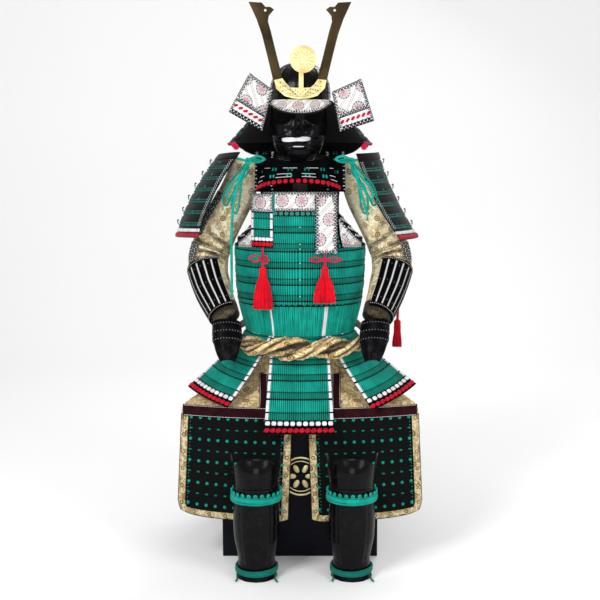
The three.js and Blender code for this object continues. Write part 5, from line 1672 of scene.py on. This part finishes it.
def build_helmet():
    """Ridged bowl, printed visor, laced neck guard and the turned-back plates at the brow."""
    shell = Shell()
    us, vs = np.linspace(0, 1, 193), np.linspace(0, 1.47, 40)
    U, T = np.meshgrid(us, vs)
    ridge = 1.5 * np.abs(np.cos(np.pi * 16 * U)) ** 14 * (1 - smooth(T, 1.2, 1.45))
    S = lambda u, v: bowl(2 * np.pi * u, np.clip(v, 0.001, 1.47))
    skin(
        shell, S, us, vs, ridge, 3.0, lambda p: p - [0, BOWL_Y, BOWL_Z - 20], tint=rgba(BLACK, 0.2),
        inner=12,
    )
    u = np.repeat((np.arange(32) + 0.5) / 32, 5)
    v = np.tile([0.12, 0.35, 0.6, 0.85, 1.08], 32)
    p, out, along = on(S, u, v, 0.2, lambda p: p - [0, BOWL_Y, BOWL_Z - 20])
    domes(shell, p, out, along, 1.7, 1.7, 1.5, rgba(BLACK, 0.2), 0, 6)
    ring = 2 * np.pi * np.arange(41) / 40
    for r, z, w in ((15, 1326.5, 2.6), (10.5, 1328.6, 2.0), (6.5, 1330.2, 1.6)):
        tube(shell, vec(r * np.cos(ring), BOWL_Y + r * np.sin(ring), z), w, rgba(GOLD, SHINY), 1, 8)
    domes(shell, [[0, BOWL_Y, 1325.0]], [0, 0, 1.0], [1.0, 0, 0], 15, 15, 3, rgba(BLACK, 0.2), 0, 24)
    shell.build("ridged_bowl", mats("gloss", "gold"), ["helmet_bowl"], 50)

    def visor(u, v):
        k = mix(-1, 1, u)
        a = rad(62 * k)
        inner = vec(82.9 * np.sin(a), BOWL_Y - 103.4 * np.cos(a), 1225.6)
        outer = vec(91 * np.sin(a), BOWL_Y - 144 * np.cos(a), 1187 + 30 * k * k)
        return mix(inner, outer, np.asarray(v)[..., None])

    up = facing(0, -0.6, 1)
    shell = Shell()
    printed(shell, visor, up, lift=1.4, thick=1.4, sides="d", edge=8.0, step=3.0, shift=(-24.0, 2.0))
    p = visor(np.linspace(0, 1, 40), np.full(40, 0.985))
    tube(shell, p + [0, -1.2, 0.4], 2.6, rgba(BLACK, 0.4), 1, 6)
    k = np.arange(58)
    q, out, along = on(visor, (k + 0.5) / 58, 0.86 + 0.03 * np.sin(k * 2.1), 2.2, up)
    spike = np.where((k % 2 == 0)[:, None], rgba(BLACK, DULL), rgba(WHITE, DULL))
    domes(shell, q, out, along, 1.3, 5.4, 1.1, spike, 1, 6)
    for u in np.linspace(0.12, 0.88, 5):
        q, out, along = on(visor, np.array([u]), np.array([0.12]), 1.8, up)
        domes(shell, q, out, along, 3.6, 3.6, 2.2, rgba(GOLD, SHINY), 2, 12)
    shell.build("printed_visor", mats("leather", "silk", "gold"), ["helmet_visor"])
    shell = Shell()
    rows = []
    for i in range(5):
        top = i / 5
        rows += [
            ("gap", top, top + 0.02), ("lame", top + 0.02, top + 0.11), ("line", top + 0.11, top + 0.135)
        ]
        rows += [
            ("gap", top + 0.135, top + 0.15), ("line", top + 0.15, top + 0.175),
            ("gap", top + 0.175, top + 0.2),
        ]
    # The neck guard's silk is dimmed to 0.55 as painted shade, for the shadow under the helmet.
    laced(
        shell, neck, rows, outwards, thick=1.6, white=6.0, cord=8.0, inner=8, shade=0.55,
        side=screen(44, 46, 48), fine=False,
    )
    bead_row(shell, neck, 0.975, 12.0, 5.6, 3.2, 3.0, np.array(RED) * 0.9, outwards, lift=1.4)

    def hem(u, v):
        p = neck(mix(0.16, 0.84, u), np.full_like(np.asarray(u, float), 0.96)) * [0.965, 0.965, 1.0]
        drop = 34 * smooth(u, 0.0, 0.25) * (1 - smooth(u, 0.75, 1.0)) + 1.5
        p[..., 2] -= drop * v
        return p

    U, V = np.meshgrid(np.linspace(0, 1, 160), np.linspace(0, 1, 12))
    wave = 1.2 * np.sin(U * 97 + 2 * np.sin(U * 23)) * V
    skin(
        shell, hem, U[0], V[:, 0], 1.5 + wave, 1.5, outwards, tint=rgba(screen(12, 11, 13), 0.7), mat=SILK,
        inner=4,
    )
    for s in (-1, 1):
        for turn in (0, 5):
            knot(shell, s * (175 - turn), -90 - turn, 1107 - turn, 8, rgba(screen(206, 30, 74), DULL))
    shell.build("laced_neck_guard", mats(*WOVEN), ["neck_guard"])
    front = facing(0, -1, 0)
    for name, c in WINGS:
        uo, ui, li, lo = (np.array(q, float) for q in c)

        def S(u, v):
            u, v = np.asarray(u, float)[..., None], np.asarray(v, float)[..., None]
            p = mix(mix(ui, uo, u), mix(li, lo, u), v)
            p[..., 1] -= 9 * np.sin(np.pi * u[..., 0]) + 4 * np.sin(np.pi * v[..., 0])
            return p

        shell = Shell()
        printed(
            shell, lambda u, v: S(u, v * 0.66), front, lift=1.6, thick=1.4, edge=7.0, shift=(-8.0, 12.0)
        )
        band = lambda u, v: S(u, mix(0.665, 1.0, v))
        us, vs = np.linspace(0, 1, 40), np.array([0, 0.06, 0.08, 0.4, 0.66, 0.69, 0.85, 1])
        U, V = np.meshgrid(us, vs)
        dark = (V < 0.07) | (V > 0.68) | (U < 0.05) | (U > 0.95)
        tint = np.where(dark[..., None], rgba(BLACK, 0.4), rgba(WHITE, DULL))
        skin(shell, band, us, vs, 2.2 + 0 * U, 1.4, front, tint=tint, mat=1, inner=5)
        q, out, along = on(band, np.linspace(0.12, 0.9, 6), np.full(6, 0.36), 2.4, front)
        slanted = unit(along + 0.7 * np.cross(out, along))
        domes(shell, q, out, slanted, 7.0, 3.6, 3.0, rgba(RED, DULL), 1, 10, 2.6)
        domes(shell, q + slanted * 4, out, slanted, 2.6, 2.6, 3.6, rgba(RED, DULL), 1, 8)
        picots(shell, band, front, 10.0, "d", 2.6, 5.0)
        picots(shell, band, front, 5.0, "lr", 2.6, 5.0)
        shell.build(
            f"printed_brow_wing_{name}", mats("leather", "silk"), [f"brow_wing_{name}"]
        )


# Crest, mask and throat guard.


def cad_copy(node, name, look_of, bevel, segments=3):
    """A frame solid with its edges rounded, as its own piece."""
    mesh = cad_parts[node].data.copy()
    mesh.name = name
    mesh.materials.clear()
    mesh.materials.append(material(look_of))
    b = bmesh.new()
    b.from_mesh(mesh)
    bmesh.ops.remove_doubles(b, verts=b.verts, dist=1e-5)
    bmesh.ops.dissolve_limit(b, angle_limit=0.01, verts=b.verts, edges=b.edges)
    edges = [e for e in b.edges if len(e.link_faces) == 2 and e.calc_face_angle(0) > 0.5]
    bmesh.ops.bevel(
        b, geom=edges, offset=bevel * MM, segments=segments, affect="EDGES", profile=0.6, clamp_overlap=True
    )
    b.to_mesh(mesh)
    b.free()
    mesh.polygons.foreach_set("use_smooth", np.ones(len(mesh.polygons), bool))
    mesh.polygons.foreach_set("material_index", np.zeros(len(mesh.polygons), np.int32))
    mesh.set_sharp_from_angle(angle=math.radians(35))
    if "tint" not in mesh.color_attributes:
        mesh.color_attributes.new("tint", "FLOAT_COLOR", "POINT")
    return placed(bpy.data.objects.new(name, mesh), [node])


HORN_Y = -117.6


def build_crest():
    """Gilt horn base, two dark brass horns and the engraved disc between them."""
    cad_copy("horn_base", "gilt_horn_base", "gold", 0.6, 2)
    for name, _ in SIDES:
        cad_copy(f"helmet_horn_{name}", f"brass_horn_{name}", "brass", 0.7, 2)
    shell = Shell()
    for k in range(17):
        x = 1 + 6.6 * (k - 8)
        low = 1227 + 0.0062 * x * x
        high = 1256 + max(0.0, abs(x) - 25) * 0.8
        for share in (0.26, 0.62) if k % 2 else (0.45, 0.8):
            q = [[x, HORN_Y + 0.004 * x * x - 0.1, mix(low, high, share)]]
            domes(shell, q, [0, -1.0, 0], [1.0, 0, 0], 1.5, 1.5, 0.8, rgba(BLACK, SHINY), 1, 8)
    for s in (-1, 1):
        q = [[s * 91, -96 + (1455 - 1268) * 0.08 - (0.3 if s < 0 else -0.7), 1457]]
        domes(shell, q, [0, -1.0, 0], [1.0, 0, 0], 3.4, 3.4, 0.7, rgba(screen(214, 208, 190), SHINY), 1, 14)
    t = np.linspace(-0.96, 0.96, 60)
    for drop, r in ((0, 1.1), (5, 0.7)):
        x = 1 + 62 * t
        z = 1234 + drop + 0.0058 * x * x
        tube(shell, vec(x, HORN_Y + 0.004 * x * x, z), r, rgba(GOLD, SHINY), 0, 6)
    shell.build("crest_studs", mats("gold", "plate"))
    shell = Shell()
    m, n = 44, 193
    r = np.linspace(0.2, 35, m)
    a = 2 * np.pi * np.arange(n) / (n - 1)
    R, A = np.meshgrid(r, a, indexing="ij")
    petal = np.abs(np.cos(8 * A))
    h = 1.0 + 0.9 * (1 - smooth(R, 30.5, 31.2)) + 1.1 * bump(R - 33, 1.4)
    h = h + 1.2 * petal**0.6 * smooth(R, 14, 16) * (1 - smooth(R, 26, 30))
    h = h + 1.4 * (1 - smooth(R, 12.2, 13.4))
    h = h + 0.5 * np.abs(np.cos(12 * A)) * smooth(R, 6, 7) * (1 - smooth(R, 11, 12.4))
    h = h + 1.2 * (1 - smooth(R, 4.6, 6.2))
    x, z, y = 8 + R * np.sin(A), 1329 + R * np.cos(A), HORN_Y - 1.9
    top = vec(x, y - h, z).reshape(-1, 3)
    low = vec(x[-1], y + 1.4, z[-1])
    uv = np.stack([x.ravel(), z.ravel()], 1)
    # Painted shade: the engraving is tinted darker in its hollows; the gilt material does not read this
    # tint.
    shade = np.clip(0.72 + 0.14 * h, 0.6, 1).ravel()
    tint = toned(shade, SHINY)
    shell.add(top, quads(m, n)[:, ::-1], uv, tint)
    both = np.concatenate([top[-n:], low])
    shell.add(both, quads(2, n)[:, ::-1], np.zeros((2 * n, 2)), rgba(GOLD, SHINY))
    shell.add(low, [list(range(n - 1))], np.zeros((n, 2)), rgba(GOLD, SHINY))
    stem = [(-3, -2.6), (9, -2.6), (9, 0.2), (-3, 0.2)]
    pts = [(x, HORN_Y + d, z) for z in (1248, 1297) for x, d in stem]
    box = [[0, 1, 5, 4], [1, 2, 6, 5], [2, 3, 7, 6], [3, 0, 4, 7], [0, 3, 2, 1], [4, 5, 6, 7]]
    shell.add(pts, box, np.zeros((8, 2)), rgba(GOLD, SHINY))
    tube(shell, [(3, HORN_Y - 3.4, z) for z in np.linspace(1250, 1294, 12)], 1.6, rgba(GOLD, SHINY), 0, 8)
    shell.build("engraved_disc", mats("gold"), ["crest_disc"], 40)


MASK = (
    (1058, 34, 52),
    (1066, 46, 66),
    (1085, 57, 78),
    (1108, 68, 80),
    (1133, 76, 78),
    (1160, 78, 70),
    (1190, 75, 65),
    (1230, 73, 60),
)
MASK_X = -4.0


def mask(u, v):
    """Surface of the face mask: an oval with nose, cheeks, lips and chin raised on it."""
    k = 2 * u - 1
    w0 = np.abs(k)
    top = 1176 - 15 * smooth(w0, 0.08, 0.3) + 20 * smooth(w0, 0.45, 0.72) + 46.4 * smooth(w0, 0.72, 0.9)
    z = mix(top, 1058, v)
    w, d = look(MASK, z)
    a = rad(96 * k)
    x = w * np.sin(a)
    y = 38 + d * np.cos(a)
    y = y + 19 * bump(x, 9) * bump(z - 1142, 13) + 9 * bump(x, 7) * bump(z - 1168, 18)
    y = y + 7 * bump(x, 17) * bump(z - 1142, 7)
    y = y + 6 * bump(np.abs(x) - 40, 17) * bump(z - 1146, 16)
    y = y + 5 * bump(x, 34) * bump(z - 1131, 5) + 5 * bump(x, 22) * bump(z - 1093, 5)
    y = y + 6 * bump(x, 16) * bump(z - 1082, 11) - 7 * bump(x / 26, 1) * bump(z - 1117, 5)
    y = y - 9 * bump(x / 21, 1) * bump(z - 1104, 5)
    return vec(MASK_X + x, -y, z)


def mask_front(x, z):
    """Depth of the mask's surface near its middle."""
    w, d = look(MASK, np.asarray(z, float))
    s = np.clip(np.asarray(x) / w, -0.95, 0.95)
    return -(38 + d * np.sqrt(1 - s * s) + 5 * bump(x, 34) * bump(z - 1131, 5))


def throat(u, v):
    """Surface of the throat guard."""
    k = 2 * u - 1
    a = rad(74 * k)
    b = mix(58, 110, v) * (1 - mix(0.3, 0.24, v) * k * k)
    z = mix(1064 + 14 * k * k, 1010 - 24 * k * k, v)
    return vec(MASK_X + mix(82, 116, v) * np.sin(a), -42 - b, z)


def build_mask():
    """Plain lacquered half mask with a white moustache, and the laced throat guard."""
    shell = Shell()
    away = lambda p: vec(p[:, 0], p[:, 1] + 20, 0)
    us, vs, U, V = grid(140, 110)
    line = 0.7 * np.sin(
        V * 60 + 5 * np.abs(U - 0.5)
    ) * bump(np.abs(U - 0.5) - 0.19, 0.05) * bump(V - 0.5, 0.14)
    lip = 0.8 * (1 - smooth(V, 0, 0.025))
    skin(shell, mask, us, vs, line + lip, 3.0, away, tint=rgba(BLACK, 0.2), inner=12)
    x = MASK_X + np.array([*np.linspace(-25, 17, 12), -17, -11, 9, 14])
    z = np.array([1103.5] * 12 + [1098.0] * 4)
    q = vec(x, mask_front(x - MASK_X, z) + 7.0, z)
    domes(shell, q, [0, -1.0, 0], [1.0, 0, 0], 1.8, 2.0, 2.0, rgba(WHITE, SHINY), 1, 8, 3.0)
    shell.build("lacquered_mask", mats("gloss", "silk"), ["face_mask"], 60)
    shell = Shell()
    for s in (-1, 1):
        for k in range(64):
            f = k / 63
            x0 = s * (5 * abs(math.sin(k * 1.3)) - 2)
            z0 = mix(1118.6, 1124.6, f) + 0.5 * math.sin(k * 5.1)
            x1 = s * (24 + 15 * ((k * 23) % 64) / 63)
            z1 = z0 + 1.5 * math.sin(k * 2.3) + (2.5 if s > 0 else -0.5)
            t = np.linspace(0, 1, 7)
            x = mix(x0, x1, t)
            z = mix(z0, z1, t) + 1.6 * np.sin(np.pi * t) * (2 * f - 0.6)
            y = mask_front(x, z) - 1.6 - 3.4 * np.sin(np.pi * np.clip(0.5 * t + 0.3, 0, 1))
            y = y - 1.6 * math.sin(math.pi * f)
            radius = np.array([0.7, 0.8, 0.8, 0.75, 0.65, 0.5, 0.25])
            tube(shell, vec(MASK_X - 6 + x, y, z), radius, rgba(WHITE, DULL), 0, 5)
    shell.build("white_moustache", mats("silk"))
    shell = Shell()
    rows = []
    for a, b in ((0.0, 0.25), (0.27, 0.51), (0.53, 0.79)):
        rows += [("gap", a, a + 0.02), ("lame", a + 0.02, b)]
    rows += [("gap", 0.79, 1.0)]
    laced(shell, throat, rows, thick=1.4, white=0, inner=4)
    bead_row(shell, throat, 0.915, 12.0, 6.4, 6.6, 4.2, RED, square=2.4, slant=0.25)
    for v in (0.34, 0.6, 0.74):
        for u0, u1 in ((0.01, 0.12), (0.3, 0.46), (0.56, 0.7), (0.88, 0.99)):
            u0, u1 = (u + 0.03 * math.sin(40 * v) for u in (u0, u1))
            u = np.clip(np.linspace(u0, u1, 6), 0, 1)
            p = on(throat, u, v + 0.12 * (u - 0.5) * (u - 0.5), 3.0)[0]
            tube(shell, p, 0.9, rgba(screen(200, 202, 204), 0.4), 1, 5)
    for v in (0.4, 0.67):
        u = np.array([0.2, 0.24, 0.39, 0.43, 0.57, 0.61, 0.76, 0.8])
        p, out, along = on(throat, u, np.full(8, v), 2.6)
        tint = rgba(TEAL, DULL, 1.0 if v > 0.5 else 0.5)
        domes(shell, p, out, along, 2.6, 6.0, 1.9, tint, SILK, 8, 2.6)
    shell.build("laced_throat_guard", mats(*WOVEN), ["throat_guard"])


# Tassels and cords.


def fringe(shell, x, y, z, low, wide, deep, colour, seed):
    """Adds a tassel: a bound head and a skirt of loose threads."""
    rng = np.random.default_rng(seed)
    for ring, count in ((1.0, 84), (0.82, 64), (0.55, 40), (0.25, 20)):
        for k in range(count):
            a = 2 * math.pi * (k + rng.uniform(-0.3, 0.3)) / count
            t = np.array([0, 0.12, 0.35, 0.62, 0.85, 1.0])
            spread = np.array([8.0, 8.6, 0, 0, 0, 0])
            full = np.array([0, 0, 0.66, 0.86, 0.98, 1.0]) * ring
            rx, ry = spread * ring + full * (wide - 1.2), spread * ring + full * (deep - 1.0)
            end = low + abs(rng.normal(0, 2.2)) + 0.4
            zz = mix(z - 6, end, t)
            wob = 0.7 * np.sin(t * 5 + k)
            pts = vec(x + (rx + wob) * math.cos(a), y + (ry + wob * 0.5) * math.sin(a), zz)
            tint = rgba(colour, 0.62, 0.72 + 0.4 * rng.random())
            tube(shell, pts, np.array([0.9, 1.0, 1.1, 1.1, 1.0, 0.7]), tint, 0, 4)
    for h in np.linspace(z - 9, z + 3, 5):
        a = np.linspace(0, 2 * math.pi, 25)
        tube(shell, vec(x + 8.6 * np.cos(a), y + 8.6 * np.sin(a), h), 1.6, rgba(colour, DULL), 0, 6)
    domes(shell, [[x, y, z]], [0, 0, 1.0], [1.0, 0, 0], 9.0, 9.0, 9.0, rgba(colour, DULL), 0, 14)


def loop(shell, x, y, z, wide, high, radius, tint):
    """Adds one loop of a bow that starts and ends in its knot."""
    p = [(x, y, z), (x + wide * 0.6, y - 2, z + high * 0.55), (x + wide, y - 2, z + high * 0.1)]
    p += [(x + wide * 0.55, y - 1, z - high * 0.4), (x - wide * 0.02, y, z - 1)]
    tube(shell, Line(p).even(3), radius, tint, 0, 8)


def knot(shell, x, y, z, r, tint):
    """Adds a small knot of crossing turns."""
    a = np.linspace(0, 2 * math.pi, 21)
    for k in range(3):
        t = 2.1 * k
        c, s = math.cos(t), math.sin(t)
        px, pz = r * 0.62 * np.cos(a), r * 0.5 * np.sin(a)
        pts = vec(x + px * c - pz * s, y - r * 0.25 + r * 0.45 * np.sin(a + k), z + px * s + pz * c)
        tube(shell, pts, r * 0.38, tint, 0, 7)


# Breast tassels: head, foot height, half width and depth, cord top (y, z), knot (y, z), bows and seed.
TASSELS = (
    ("right", (-99, -144, 778), 672, (27, 13), (-137, 837.6), (-143, 808), ((-36, 17), (14, -22)), 11),
    ("left", (66, -153, 780), 690, (30, 13), (-146, 820.4), (-151, 806), ((-42, 12), (44, 12)), 12),
)


def build_tassels():
    """Two bright tassels on the breast and a darker one at the back of the left shoulder."""
    pink = rgba(screen(196, 34, 70), DULL)
    for name, (x, y, z), low, (wide, deep), (cord_y, cord_z), (knot_y, knot_z), bows, seed in TASSELS:
        shell = Shell()
        fringe(shell, x, y, z, low, wide, deep, BRIGHT, seed)
        route = [(x, cord_y, cord_z), (x, knot_y, knot_z), (x, y, z + 4)]
        tube(shell, Line(route).even(4), 3.0, pink, 0, 8)
        knot(shell, x, knot_y, knot_z, 7, pink)
        for w, h in bows:
            loop(shell, x, knot_y, knot_z, w, h, 2.4, pink)
        shell.build(f"silk_tassel_{name}", mats("silk"), [f"tassel_{name}"])
    shell = Shell()
    dull = np.array(BRIGHT) * 0.55
    fringe(shell, 280, 62, 600, 528, 14, 12, dull, 13)
    path = Line(
        [
            (222, 124, 1056), (246, 126.8, 1008), (292, 127.8, 912), (300, 124, 862), (288, 98, 720),
            (280, 62, 604),
        ]
    )
    tube(shell, path.even(6), 3.9, rgba(dull, DULL), 0, 8)
    shell.build("silk_tassel_rear", mats("silk"), ["tassel_rear"])


CORDS = (
    (
        "right",
        (
            (-140, -139, 1048.9), (-156, -145, 1026), (-174, -148, 960), (-181, -146, 880),
            (-182, -144, 800), (-182, -142, 722),
        ),
    ),
    ("left", ((140, -139, 1049.6), (148, -145, 1028), (160, -147, 985), (178, -147, 930))),
)


def build_cords():
    """Knots and bows that tie the shields to the straps, and their long free ends."""
    teal = rgba(TEAL, DULL)
    for i, (name, s) in enumerate(SIDES):
        S, away = shield(SHIELDS[i][1], SHIELDS[i][2])
        eye, _, _ = on(S, np.array([0.95]), np.array([0.06]), -6.2 if s < 0 else -5.4, away)
        eye = eye[0]
        shell = Shell()
        knot(shell, s * 136, -136, 1066, 10, teal)
        route = [(s * 125.6, -62, 1066), (s * 130, -100, 1070), (s * 136, -136, 1066)]
        tube(shell, Line(route).even(4), 3.6, teal, 0, 8)
        route = [(s * 136, -136, 1066), (eye[0] - s * 3, eye[1] - 8, eye[2]), eye]
        tube(shell, Line(route).even(3), 3.3, teal, 0, 8)
        loop(shell, s * 136, -138, 1070, s * -42, 16, 3.4, teal)
        loop(shell, s * 136, -140, 1068, s * -32, 4, 3.2, rgba(DEEP, DULL))
        for wide, low, tone in ((0, 0, 1.0), (10, 14, 0.55), (-14, 34, 0.75)):
            bight = [(136, -138, 1066), (152 + wide, -143, 1036), (184 + wide, -147, 998)]
            bight += [(192 + wide, -147, 972 - low), (184 + wide, -148, 964 - low)]
            bight += [(177 + wide, -148, 976 - low), (150, -143, 1030), (136, -139, 1063)]
            line = Line([(s * a, b, c) for a, b, c in bight]).even(4)
            tube(shell, line, 3.0, rgba(TEAL, DULL, tone), 0, 8)
        shell.build(f"silk_shoulder_knot_{name}", mats("silk"), [f"shoulder_knot_{name}"])
        path = Line(CORDS[i][1]).even(5)
        shell = Shell()
        tube(shell, path, 3.6, teal, 0, 10)
        o = shell.build(f"free_cord_{name}", mats("silk"), [f"shoulder_cord_{name}"])
        end = Shell()
        x, y, z = path[-1]
        knot(end, x, y, z - 1, 5.6, teal)
        for k in range(26):
            a = 2.4 * k
            r = 1.2 + 2.6 * ((k * 5) % 26) / 26
            pts = [
                (x + r * math.cos(a) * q, y + r * math.sin(a) * q, z - 4 - 15 * q) for q in (0.2, 0.6, 1.0)
            ]
            tube(end, pts, 0.7, teal, 0, 4)
        tip = end.build(f"cord_end_{name}", mats("silk"))


# Chest, stand and stage.


def build_chest():
    """Lacquered storage chest, its lid, a plain gilt ring on the front, and the wooden stand."""
    cad_copy("chest_body", "painted_chest_body", "chest", 2.5)
    cad_copy("chest_lid", "painted_chest_lid", "chest", 2.5)
    cad_copy("display_stand", "stained_stand", "wood", 1.2, 2)
    shell = Shell()
    a = np.linspace(0, 2 * math.pi, 73)
    for r, w in ((52, 2.6), (42, 1.4)):
        tube(shell, vec(2 + r * np.cos(a), -200.2, 226 + r * np.sin(a)), w, rgba(GOLD, SHINY), 0, 8, 0.35)
    q = [(2 + 24 * math.cos(t), -200.1, 226 + 24 * math.sin(t)) for t in 2 * np.pi * np.arange(6) / 6]
    radial = [[math.cos(t), 0, math.sin(t)] for t in 2 * np.pi * np.arange(6) / 6]
    domes(shell, q, [0, -1.0, 0], np.array(radial), 12, 7, 1.6, rgba(GOLD, SHINY), 0, 16, 2.0)
    shell.build("gilt_ring_motif", mats("gold"))


# Distance and height in metres, tilt in degrees, focal length and picture width in pixels,
# and the sensor's width in millimetres.
CAMERA = {"away": 3.0, "high": 1.15, "down": 9.0, "focus": 1081.0, "picture": 600, "sensor": 36.0}
# Area lights: name, place, aim, size in metres and watts.
LIGHTS = (
    ("key", (-1.9, -2.6, 2.9), (0, 0, 0.8), 1.2, 72),
    ("fill", (2.4, -2.4, 1.9), (0, 0, 0.8), 1.4, 34),
    ("rim", (1.2, 2.0, 3.0), (0, 0, 0.9), 1.4, 34),
    ("front", (0, -3.4, 0.9), (0, 0, 0.5), 1.2, 22),
)
WORLD_LIGHT = 0.56
# Floor and wall in metres: half width, front edge, start of the bend, its radius, the wall's top.
HALF, START, BEND, ROUND, WALL = 9.0, -9.0, 2.2, 1.2, 7.0


def build_stage():
    """Pale floor and backdrop, soft studio lights and the camera at the photograph's angle."""
    mesh = bpy.data.meshes.new("studio_floor")
    bend = np.linspace(0.1, math.pi / 2, 12)
    profile = [(START, 0.0), (BEND, 0.0)]
    profile += [(BEND + ROUND * math.sin(t), ROUND - ROUND * math.cos(t)) for t in bend]
    profile += [(BEND + ROUND, WALL)]
    pts = [(x, y, z) for x in (-HALF, HALF) for y, z in profile]
    n = len(profile)
    mesh.from_pydata(pts, [], [[i, i + 1, n + i + 1, n + i] for i in range(n - 1)])
    mesh.polygons.foreach_set("use_smooth", np.ones(len(mesh.polygons), bool))
    m = Maker("studio_paper", rough=0.9)
    shade = m.blend(m.noise(1.5, 2.0), (0.95, 0.95, 0.95), (0.97, 0.97, 0.97))
    mesh.materials.append(m.done(shade))
    floor = bpy.data.objects.new("studio_floor", mesh)
    bpy.context.scene.collection.objects.link(floor)
    for name, at, aim, size, watts in LIGHTS:
        light = bpy.data.lights.new(name, "AREA")
        light.size, light.energy = size, watts
        o = bpy.data.objects.new(name, light)
        o.location = at
        o.rotation_euler = (Vector(aim) - Vector(at)).to_track_quat("-Z", "Y").to_euler()
        bpy.context.scene.collection.objects.link(o)
    world = bpy.data.worlds.new("studio") if bpy.context.scene.world is None else bpy.context.scene.world
    bpy.context.scene.world = world
    world.use_nodes = True
    world.node_tree.nodes["Background"].inputs[0].default_value = (1, 1, 1, 1)
    world.node_tree.nodes["Background"].inputs[1].default_value = WORLD_LIGHT
    cam = bpy.data.cameras.new("camera")
    cam.sensor_width = CAMERA["sensor"]
    cam.lens = CAMERA["focus"] / CAMERA["picture"] * CAMERA["sensor"]
    cam.clip_end = 50
    o = bpy.data.objects.new("camera", cam)
    o.location = (0, -CAMERA["away"], CAMERA["high"])
    o.rotation_euler = (math.radians(90 - CAMERA["down"]), 0, 0)
    bpy.context.scene.collection.objects.link(o)
    bpy.context.scene.camera = o
    bpy.context.scene.view_settings.view_transform = "Standard"


# Operators and panel.


class ARMOUR_PG_lacing(bpy.types.PropertyGroup):
    """Sizes of the silk lacing."""

    cord: bpy.props.FloatProperty(
        name="Cord",
        description="Width of one lacing cord",
        subtype="DISTANCE",
        unit="LENGTH",
        default=CORD * MM,
        min=0.003,
        max=0.012,
    )
    pitch: bpy.props.FloatProperty(
        name="Row pitch",
        description="Height of one row of lames",
        subtype="DISTANCE",
        unit="LENGTH",
        default=PITCH * MM,
        min=0.02,
        max=0.09,
    )


class ARMOUR_PG_colours(bpy.types.PropertyGroup):
    """Main dyes."""

    teal: bpy.props.FloatVectorProperty(
        name="Teal",
        description="Silk of the lacing and the shoulder cords",
        subtype="COLOR",
        default=TEAL,
        min=0,
        max=1,
    )
    red: bpy.props.FloatVectorProperty(
        name="Red",
        description="Silk of the tassels",
        subtype="COLOR",
        default=BRIGHT,
        min=0,
        max=1,
    )
    white: bpy.props.FloatVectorProperty(
        name="White",
        description="Silk of the edge cords and stitches",
        subtype="COLOR",
        default=WHITE,
        min=0,
        max=1,
    )


def read_panel():
    """Takes the sizes and dyes set in the panel over for the builders."""
    global CORD, PITCH, TEAL, BRIGHT, WHITE
    lacing_set = bpy.context.scene.armour_lacing
    dyes = bpy.context.scene.armour_colours
    CORD = round(lacing_set.cord / MM, 3)
    PITCH = round(lacing_set.pitch / MM, 3)
    TEAL, BRIGHT, WHITE = (tuple(dye) for dye in (dyes.teal, dyes.red, dyes.white))
    BANDS["wide"] = (*BANDS["wide"][:3], TEAL, *BANDS["wide"][4:])


def step(key, label, function):
    """One operator that builds a group of pieces."""

    def execute(self, context):
        read_panel()
        function()
        return {"FINISHED"}

    name = "ARMOUR_OT_" + key
    body = {
        "bl_idname": "armour." + key, "bl_label": label, "__doc__": function.__doc__, "execute": execute
    }
    return type(name, (bpy.types.Operator,), body)


STEPS = (
    step("chest", "Chest and stand", build_chest),
    step("cuirass", "Cuirass", build_cuirass),
    step("straps", "Straps and pendants", build_straps),
    step("hanging_cords", "Hanging cords", build_hanging_cords),
    step("skirts", "Skirts", build_skirts),
    step("sash", "Sash", build_sash),
    step("apron", "Thigh apron", build_apron),
    step("legs", "Shin guards", build_legs),
    step("arms", "Sleeves and hands", build_arms),
    step("shields", "Shoulder shields", build_shields),
    step("helmet", "Helmet", build_helmet),
    step("crest", "Crest", build_crest),
    step("mask", "Mask and throat guard", build_mask),
    step("tassels", "Tassels", build_tassels),
    step("cords", "Shoulder cords", build_cords),
    step("stage", "Stage", build_stage),
)


class ARMOUR_PT_panel(bpy.types.Panel):
    """Lists the building steps."""

    bl_idname = "ARMOUR_PT_panel"
    bl_label = "Armour"
    bl_space_type = "VIEW_3D"
    bl_region_type = "UI"
    bl_category = "Armour"

    def draw(self, context):
        for group in (context.scene.armour_lacing, context.scene.armour_colours):
            for key in group.__annotations__:
                self.layout.prop(group, key)
        for operator in STEPS:
            self.layout.operator(operator.bl_idname)


CLASSES = (ARMOUR_PG_lacing, ARMOUR_PG_colours, *STEPS, ARMOUR_PT_panel)


def register():
    for c in CLASSES:
        bpy.utils.register_class(c)
    bpy.types.Scene.armour_lacing = bpy.props.PointerProperty(type=ARMOUR_PG_lacing)
    bpy.types.Scene.armour_colours = bpy.props.PointerProperty(type=ARMOUR_PG_colours)


def unregister():
    del bpy.types.Scene.armour_colours
    del bpy.types.Scene.armour_lacing
    for c in reversed(CLASSES):
        bpy.utils.unregister_class(c)


def main():
    register()
    for operator in STEPS:
        group, key = operator.bl_idname.split(".")
        getattr(getattr(bpy.ops, group), key)()


if __name__ == "__main__":
    main()
